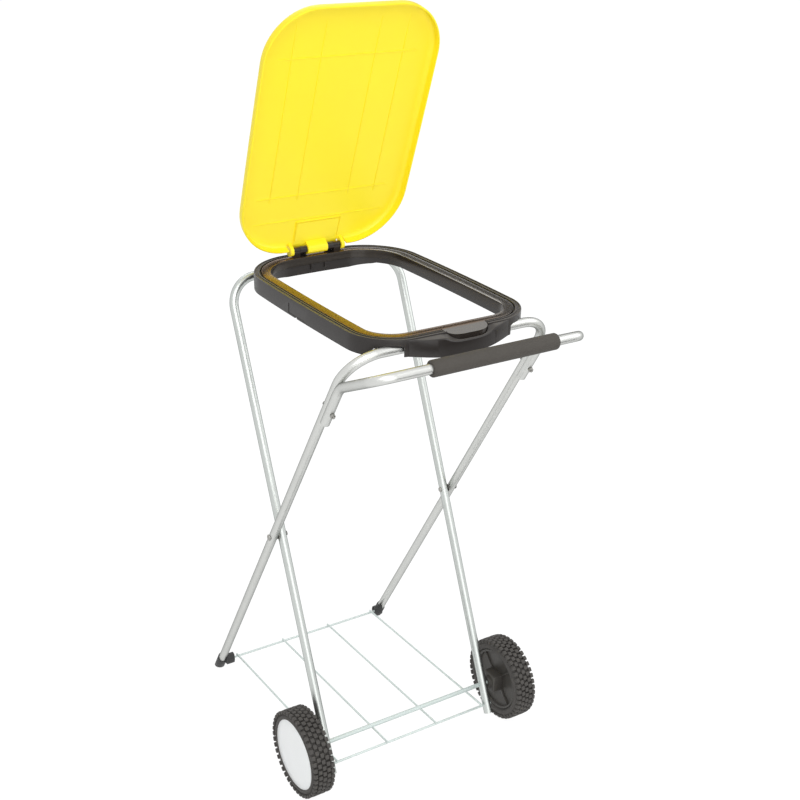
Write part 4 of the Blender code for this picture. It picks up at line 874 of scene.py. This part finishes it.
def ring_loop(section):
    """A section run round the ring; at the hinge its inner part narrows and its inner wall is deeper."""
    loop = soft_loop(section, RING_HALF, RING_FRONT, RING_BACK, RING_FRONT_CORNER, RING_BACK_CORNER,
                     RING_BOWS)
    for vertex in loop.data.vertices:
        inset = RING_BACK + 1.7 * MM - vertex.co.y
        if 11 * MM < inset < 45 * MM and abs(vertex.co.x) < BACK_SPAN:
            near = min(1.0, (inset - 11 * MM) / (8 * MM)) * min(1.0, (45 * MM - inset) / (12 * MM))
            share = (1 - (vertex.co.x / BACK_SPAN) ** 2) ** 1.5
            vertex.co.y += BACK_DRAWN * near * share
            if vertex.co.z < RING_TOP - 24 * MM:
                vertex.co.z -= BACK_DEEPER * min(1.0, 1.6 * share)
    return loop


def apron_share(x):
    """How far the apron bulges along X: 0 at its ends, 1 in its middle."""
    return max(0.0, 1 - (abs(x) / APRON_HALF) ** 2.4)


def apron_edge(x):
    """Height of the apron's front edge, which dips below the thumb tab."""
    dip = max(0.0, 1 - (abs(x - TAB_X) / (TAB_HALF + 9 * MM)) ** 4)
    return RING_TOP - 2.0 * MM - 2.5 * MM * apron_share(x) - 8.0 * MM * dip


def close_ends(shape):
    """Fills the open ends of a form."""
    edit(shape)
    bpy.ops.mesh.select_all(action="DESELECT")
    bpy.ops.mesh.select_mode(type="EDGE")
    bpy.ops.mesh.select_non_manifold(extend=False)
    bpy.ops.mesh.edge_face_add()
    bpy.ops.mesh.select_mode(type="VERT")
    leave()
    tidy(shape)


def loft(rows):
    """A closed form through equal rows of points: a grid whose vertices are placed, with filled ends."""
    count = len(rows[0])
    bpy.ops.mesh.primitive_grid_add(x_subdivisions=count, y_subdivisions=len(rows) - 1, size=1.0)
    shape = bpy.context.object
    for index, vertex in enumerate(shape.data.vertices):
        vertex.co = rows[index // (count + 1)][index % (count + 1) % count]
    tidy(shape)
    close_ends(shape)
    return shape


def tab_outline(grow=0.0, steps=24):
    """D-shaped outline of the thumb tab from above."""
    base = RING_FRONT + LAND_W - 1.5 * MM
    half, reach = TAB_HALF + grow, LAND_W - 1.5 * MM + TAB_REACH + grow
    points = [(TAB_X + half, base + 3 * MM), (TAB_X - half, base + 3 * MM)]
    for step in range(steps + 1):
        across = -math.cos(math.pi * step / steps)
        points.append((TAB_X + half * across, base - reach * (1 - abs(across) ** 4) ** 0.5))
    return points


def tab_solid(top, bottom, grow=0.0, slope=0.0):
    """The tab's outline between two levels, which may slope down towards its round edge."""
    root = RING_FRONT + LAND_W + 1.5 * MM
    rows = []
    for level in (top, bottom):
        rows.append([(x, y, RING_TOP + level - slope * (root - y)) for x, y in tab_outline(grow)])
    return loft(rows)


def knuckle(x_range, foot):
    """A hinge barrel; the outline of its foot is given as Y and Z from the hinge axis."""
    start = -math.atan2(0.2, 1.0)
    points = arc(KNUCKLE_R, KNUCKLE_R, start, math.pi - start, 20) + foot
    first, last = x_range
    return prism([(first, HINGE.y + y, HINGE.z + z) for y, z in points], (last - first, 0, 0))


def hinge_rod(radius):
    """A rod on the hinge's axis, as long as its pin."""
    return bar(HINGE - across_x * PIN_HALF, HINGE + across_x * PIN_HALF, radius)


def level_share(tree):
    """The share of a finish that counts as level: 1 on faces that look up, 0 on upright ones."""
    normal = add_node(tree, "ShaderNodeTexCoord").outputs["Normal"]
    facing = add_node(tree, "ShaderNodeSeparateXYZ", {0: normal})
    level = add_node(tree, "ShaderNodeMapRange", {"Value": facing.outputs["Z"], "From Min": 0.8,
                                                  "From Max": 0.95})
    return level.outputs[0]


def paint_highlight_where(tree, share, tint):
    """Mixes a paler tint into a finish by a share: a painted highlight."""
    shader = tree.nodes["Principled BSDF"]
    plain = shader.inputs["Base Color"].links[0].from_socket
    mixed = add_node(tree, "ShaderNodeMix", {0: share, 6: plain, 7: linear(tint)}, data_type="RGBA")
    tree.links.new(mixed.outputs[2], shader.inputs["Base Color"])


# Dark grey-brown moulded polypropylene with a half gloss; its level faces are painted paler, a painted
# highlight.
ring_plastic = surface("dark_ring_plastic", "#2a2624", 0.33, grain=0.8, mottle=0.06, spread=0.05, mirror=0.4)
paint_highlight_where(ring_plastic.node_tree, level_share(ring_plastic.node_tree), "#524e4a")

top, low, deck = RING_TOP, RING_TOP - RING_H, RING_TOP - DECK_DROP
inner_low = top - INNER_WALL_H
section = [(0.0, low), (0.0, top - 1.5 * MM), (0.35 * MM, top - 0.45 * MM), (1.2 * MM, top), (2.2 * MM, top),
           (2.8 * MM, top - 0.5 * MM), (3.0 * MM, top - 1.3 * MM), (6.8 * MM, top - 1.3 * MM),
           (7.0 * MM, top - 0.5 * MM), (7.6 * MM, top), (LAND_W - 0.7 * MM, top - 0.1 * MM),
           (LAND_W, top - 0.8 * MM), (LAND_W, deck), (BAND_W - 0.5 * MM, deck), (BAND_W, deck - 0.5 * MM),
           (BAND_W, inner_low), (BAND_W - RING_WALL, inner_low), (BAND_W - RING_WALL, deck - RING_WALL),
           (LAND_W - 1.6 * MM, deck - RING_WALL), (LAND_W - RING_WALL, top - 3.4 * MM),
           (RING_WALL, top - 3.4 * MM), (RING_WALL, low)]
ring = ring_loop(section)
wall = RING_FRONT + 1.8 * MM
rows = []
for step in range(41):
    x = APRON_HALF * (2 * step / 40 - 1)
    share = apron_share(x)
    reach = 2.2 * MM + APRON_REACH * share
    edge, bottom = apron_edge(x), low - APRON_DIP * share ** 1.5
    rows.append([(x, y, z) for y, z in
                 ((wall, top - 1.4 * MM), (wall - reach * 0.72, edge + 0.3 * MM),
                  (wall - reach * 0.86, edge - 0.5 * MM), (wall - reach * 0.93, edge - 2.2 * MM),
                  (wall - reach, bottom), (wall, bottom))])
combine(ring, loft(rows))

# The apron is hollow from below, and less so under the tab's pocket.
near, far = TAB_X - TAB_HALF - 5 * MM, TAB_X + TAB_HALF + 5 * MM
rows = []
for step in range(31):
    x = (APRON_HALF - 7 * MM) * (2 * step / 30 - 1)
    front = RING_FRONT - 0.4 * MM - APRON_REACH * 0.93 * apron_share(x) + APRON_WALL
    ceiling = top - POCKET_DEPTH - APRON_WALL if near <= x <= far else apron_edge(x) - APRON_WALL
    rows.append([(x, y, z) for y, z in ((RING_FRONT + 6 * MM, low - RING_H), (front, low - RING_H),
                                        (front, ceiling), (RING_FRONT + 6 * MM, ceiling))])
cut(ring, loft(rows))

# Webs under the deck stand on the front bar and clip round the back bar.
half_wall, ceiling = RING_WALL * 0.6, deck - RING_WALL / 2
for webs, edge, inward, foot in ((SADDLE_WEBS, RING_FRONT, 1, FRONT_BAR.z),
                                 (CLIP_WEBS, RING_BACK, -1, BACK_BAR.z - 4 * MM)):
    steps = ((half_wall, foot), (half_wall, top - 2 * MM), (LAND_W - half_wall, top - 2 * MM),
             (LAND_W - half_wall, ceiling), (BAND_W - half_wall, ceiling),
             (BAND_W - half_wall, max(foot, inner_low + 1 * MM)), (BAND_W - half_wall - 3.5 * MM, foot))
    for x in webs:
        places = [(x - WEB_T / 2, edge + inward * inset, z) for inset, z in steps]
        combine(ring, prism(places, (WEB_T, 0, 0)))
drop = HINGE.z - top + 1 * MM
foot = [(-4.8 * MM, -4.4 * MM), (2.5 * MM, -7.5 * MM), (4.4 * MM, -drop), (8.5 * MM, -drop),
        (5.2 * MM, -4 * MM)]
for _, side in SIDES:
    combine(ring, knuckle(span(side, *RING_KNUCKLE), foot))

# Arches in the front corners let the foot frame's bends through.
for _, side in SIDES:
    rows = []
    for step in range(25):
        turn = math.radians(ARCH_FROM + ARCH_SPAN * step / 24)
        height = top - ARCH_DROP - 3.5 * MM * (abs(step / 12 - 1) ** 4 + (step / 24) ** 2)
        pair = []
        for inset in (-3 * MM, 5 * MM):
            radius, half = RING_FRONT_CORNER - inset, RING_HALF - inset
            x = half - radius + radius * math.sin(turn)
            y = RING_FRONT + inset + radius - radius * math.cos(turn)
            middle, depth = (RING_FRONT + RING_BACK) / 2, (RING_BACK - RING_FRONT) / 2 - inset
            along, across = (y - middle) / depth, x / half
            pair.append((side * (x + RING_BOWS[0] * (1 - along * along) * across),
                         y + RING_BOWS[1] * (1 - across * across) * along))
        (x0, y0), (x1, y1) = pair
        rows.append([(x0, y0, low - RING_H), (x1, y1, low - RING_H), (x1, y1, height), (x0, y0, height)])
    cut(ring, loft(rows))

# The inner wall is cut short at the front, both bars lie in grooves, and the back bar's groove is open
# below to clip on.
gap_half, inner_wall = 112 * MM, RING_FRONT + BAND_W
cut(ring, block((-gap_half, inner_wall - 6 * MM, low - 5 * MM),
                (gap_half, inner_wall + 14 * MM, top - 16.5 * MM)))
for at in (BACK_BAR, FRONT_BAR):
    cut(ring, bar((-RING_HALF, at.y, at.z), (RING_HALF, at.y, at.z), BAR_GROOVE_R, 36))
cut(ring, block((-RING_HALF, BACK_BAR.y - 6.8 * MM, low - 10 * MM),
                (RING_HALF, BACK_BAR.y + 6.8 * MM, BACK_BAR.z)))

# A shallow panel in the left wall with a nick below it, the tab's pocket and the pin's bore.
side_x = RING_HALF + RING_BOWS[0]
cut(ring, block((-side_x - 5 * MM, -23.5 * MM, low + 2.5 * MM),
                (-side_x + 0.7 * MM, 33.5 * MM, top - 9 * MM)))
cut(ring, block((-side_x - 6 * MM, 5.5 * MM, low - 3 * MM), (-side_x + 6 * MM, 11.5 * MM, low + 2 * MM)))
cut(ring, tab_solid(6 * MM, -POCKET_DEPTH, 1.0 * MM))
cut(ring, hinge_rod(PIN_BORE_R))
tidy(ring)
settle(ring, "ring_moulding", ring_plastic, "dark_grey_plastic", "ring_body", "ring_frame", angle=30)


# Clamp: a second ring of dark moulded plastic on the same hinge, which presses the bag onto the deck.
# It has a skirt inside the ring and a thumb tab in the apron's pocket.
CLAMP_SKIRT = 16.0 * MM
CLAMP_W = 29.4 * MM
CLAMP_KNUCKLE = (34.6 * MM, 48.4 * MM)
CLAMP_IOR = 1.9
TAB_T = 11.0 * MM
TAB_SLOPE = 0.18

section = [(LAND_W + 2.4 * MM, top - 1.3 * MM), (LAND_W + 2.4 * MM, deck + 1.1 * MM),
           (BAND_W + 0.35 * MM, deck + 0.5 * MM), (BAND_W + 1.3 * MM, top - CLAMP_SKIRT),
           (CLAMP_W - 0.4 * MM, top - CLAMP_SKIRT), (CLAMP_W, top - CLAMP_SKIRT + 0.4 * MM),
           (CLAMP_W, top - 2.0 * MM), (CLAMP_W - 0.4 * MM, top - 1.1 * MM),
           (CLAMP_W - 1.3 * MM, top - 0.7 * MM), (LAND_W + 3.9 * MM, top - 0.3 * MM),
           (LAND_W + 2.8 * MM, top - 0.6 * MM)]
# Dark polished plastic, with more gloss on its level top than on its skirt. At the lid's side the top's
# reflection is tinted orange-brown by place, a painted reflection.
clamp_plastic = surface("dark_clamp_plastic", "#2a2521", 0.22, grain=0.8, mottle=0.06, spread=0.03)
tree = clamp_plastic.node_tree
shader = tree.nodes["Principled BSDF"]
level = level_share(tree)
place = add_node(tree, "ShaderNodeSeparateXYZ", {0: add_node(tree, "ShaderNodeTexCoord").outputs["Object"]})
left = add_node(tree, "ShaderNodeMapRange", {"Value": place.outputs["X"], "From Min": 30 * MM,
                                             "From Max": 120 * MM, "To Min": 1.0, "To Max": 0.0})
band = add_node(tree, "ShaderNodeMapRange", {"Value": place.outputs["Y"], "From Min": -214 * MM,
                                             "From Max": -208 * MM})
near_lid = add_node(tree, "ShaderNodeMath", {0: left.outputs[0], 1: band.outputs[0]}, operation="MULTIPLY")
# The orange-brown tint on the level top at the lid's side is a painted reflection.
painted_reflection_share = add_node(tree, "ShaderNodeMath", {0: near_lid.outputs[0], 1: level}, operation="MULTIPLY")
painted_reflection_tint = add_node(tree, "ShaderNodeMix", {0: painted_reflection_share.outputs[0], 6: linear("#f4f0ea"), 7: linear("#ffca94")},
                data_type="RGBA")
gloss = add_node(tree, "ShaderNodeMapRange", {"Value": level, "To Min": 0.16, "To Max": 1.0})
# The level top away from the lid is painted paler: a painted highlight.
paler = add_node(tree, "ShaderNodeMath", {0: level, 1: near_lid.outputs[0]}, operation="SUBTRACT",
                 use_clamp=True)
tree.links.new(painted_reflection_tint.outputs[2], shader.inputs["Specular Tint"])
tree.links.new(gloss.outputs[0], shader.inputs["Specular IOR Level"])
shader.inputs["IOR"].default_value = CLAMP_IOR
paint_highlight_where(tree, paler.outputs[0], "#37332f")
clamp = ring_loop(section)
combine(clamp, tab_solid(0.2 * MM, -TAB_T, slope=TAB_SLOPE))
under = block((-1.5 * TAB_HALF, RING_FRONT + LAND_W - 0.5 * MM, low - RING_H),
              (1.5 * TAB_HALF, RING_FRONT + BAND_W + 0.3 * MM, deck + 0.5 * MM))
cut(clamp, under)
cut(clamp, tab_solid(-2.6 * MM, -TAB_T - 5 * MM, -2.4 * MM, TAB_SLOPE))
for _, side in SIDES:
    first, last = span(side, RING_KNUCKLE[0] - 0.4 * MM, RING_KNUCKLE[1] + 0.2 * MM)
    cut(clamp, block((first, HINGE.y - 6.9 * MM, top - 8 * MM),
                     (last, RING_BACK - LAND_W + 4 * MM, top + 4 * MM)))
drop = HINGE.z - top + 2.6 * MM
foot = [(-4.9 * MM, -4.2 * MM), (-4.4 * MM, -drop), (1.8 * MM, -drop), (2.2 * MM, -7 * MM)]
for _, side in SIDES:
    combine(clamp, knuckle(span(side, *CLAMP_KNUCKLE), foot))
cut(clamp, hinge_rod(PIN_BORE_R))
tidy(clamp)
settle(clamp, "clamp_moulding", clamp_plastic, "dark_grey_plastic", "clamp_body", "clamp_ring", angle=30)


# Hinge pin: a plain steel rod through all the barrels. It stays with the ring, and the clamp and the
# lid turn on it.
PIN_R = 2.0 * MM

# Plain dark steel, a little mottled.
pin_steel = surface("dark_pin_steel", "#3c3a38", 0.45, 1.0, grain=0.8, mottle=0.1, spread=0.06)
pin = hinge_rod(PIN_R)
soften(pin, 0.5 * MM)
settle(pin, "hinge_rod", pin_steel, "dark_steel", "ring_body", "lid_hinge_pin")


# Lid: a shallow tray moulded in yellow plastic, seen from below, with low ribs on its underside and
# a thick tongue at the hinge. It is modelled closed, about the hinge axis, and then turned open.
LID_HALF = 163.4 * MM
LID_NEAR = 4.0 * MM
LID_FAR = 456.6 * MM
LID_NEAR_CORNER = 97.0 * MM
LID_FAR_CORNER = 90.0 * MM
LID_BELOW = 8.0 * MM
LID_ABOVE = 11.5 * MM
LID_WALL = 2.4 * MM
LID_BOWS = (1.4 * MM, 0.4 * MM)
LID_OPEN = math.radians(71.1)
LID_KNUCKLES = ((-55.4 * MM, -48.8 * MM), (-20.1 * MM, 20.1 * MM), (48.8 * MM, 55.4 * MM))
LID_KNUCKLE_R = 9.3 * MM
TONGUE = ((-56, 9.9), (-20, 9.9), (1, 10.9), (1, 7.2), (-9, 7.2), (-20, 7.4), (-55, 7.4))
TONGUE_HALF = 45.0 * MM
GROOVE_HALF = 0.8 * MM
GROOVE_TOP = 9.0 * MM
WINDOW_HALF = 59.0 * MM
RIB_HALF = 1.0 * MM
RIB_SHARES = (-0.64, -0.31, 0.31, 0.64)
CROSS_SHARES = (0.13, 0.24, 0.8)


def quarter(start, end):
    """Points of a quarter ellipse that leaves start upwards and reaches end level."""
    run, rise = end[0] - start[0], end[1] - start[1]
    return [(end[0] - wide, start[1] + high) for wide, high in arc(run, rise, 0, math.pi / 2, 8)]


# Bright yellow polypropylene, even in colour, with a soft gloss.
yellow_plastic = surface("yellow_lid_plastic", "#fde722", 0.38, grain=1.0, relief=0.008, mottle=0.012,
                         spread=0.04)

base, high = -LID_BELOW, LID_ABOVE
middle, plate = high + 1.0 * MM, high + 1.0 * MM - LID_WALL
outside = [(1.2 * MM, base), (0.35 * MM, base + 0.35 * MM), (0.0, base + 1.2 * MM)]
outside += quarter((0.6 * MM, high - 8.5 * MM), (14 * MM, high)) + [(60 * MM, middle)]
inside = quarter((LID_WALL + 0.7 * MM, high - 9.4 * MM), (14.5 * MM, high - LID_WALL)) + [(60 * MM, plate)]
section = inside[::-1] + [(LID_WALL + 0.2 * MM, base)] + outside
lid = soft_loop(section, LID_HALF, -LID_FAR, -LID_NEAR, LID_FAR_CORNER, LID_NEAR_CORNER, LID_BOWS,
                closed=False)
close_ends(lid)
ribs = []
for x in [share * LID_HALF for share in RIB_SHARES]:
    ribs.append(((x - RIB_HALF, -0.94 * LID_FAR), (x + RIB_HALF, -0.22 * LID_FAR)))
for y in [-share * LID_FAR for share in CROSS_SHARES]:
    ribs.append(((-0.8 * LID_HALF, y - RIB_HALF), (0.8 * LID_HALF, y + RIB_HALF)))
parts = [block((*start, plate - 1.2 * MM), (*end, plate + 0.8 * MM), 0.6 * MM) for start, end in ribs]
combine(lid, prism([(-TONGUE_HALF, y * MM, z * MM) for y, z in TONGUE], (2 * TONGUE_HALF, 0, 0)))

# Fine grooves set the tongue off from the tray, and a window makes room for the barrels.
for x in (-TONGUE_HALF + 1.5 * MM, TONGUE_HALF - 1.5 * MM):
    cut(lid, block((x - GROOVE_HALF, -52.5 * MM, 4 * MM), (x + GROOVE_HALF, -13 * MM, GROOVE_TOP)))
cut(lid, block((-TONGUE_HALF + 0.7 * MM, -53.5 * MM, 4 * MM),
               (TONGUE_HALF - 0.7 * MM, -51.9 * MM, GROOVE_TOP)))
cut(lid, block((-WINDOW_HALF, -18 * MM, base - 4 * MM), (WINDOW_HALF, 12 * MM, KNUCKLE_R + 0.8 * MM)))
barrel = arc(LID_KNUCKLE_R, LID_KNUCKLE_R, math.pi * 1.08, math.tau, 20)
barrel += [(9.0 * MM, 3.5 * MM), (4.0 * MM, 9.0 * MM), (1.0 * MM, 10.3 * MM), (-12 * MM, 10.3 * MM),
           (-12 * MM, KNUCKLE_R)]
for first, last in LID_KNUCKLES:
    combine(lid, prism([(first, y, z) for y, z in barrel], (last - first, 0, 0)))
cut(lid, bar((-WINDOW_HALF, 0, 0), (WINDOW_HALF, 0, 0), PIN_BORE_R))
tidy(lid)
lid = join(lid, *parts)
lid.location = HINGE
lid.rotation_euler.x = -LID_OPEN
settle(lid, "lid_moulding", yellow_plastic, "yellow_plastic", "lid_body", "lid", angle=30)
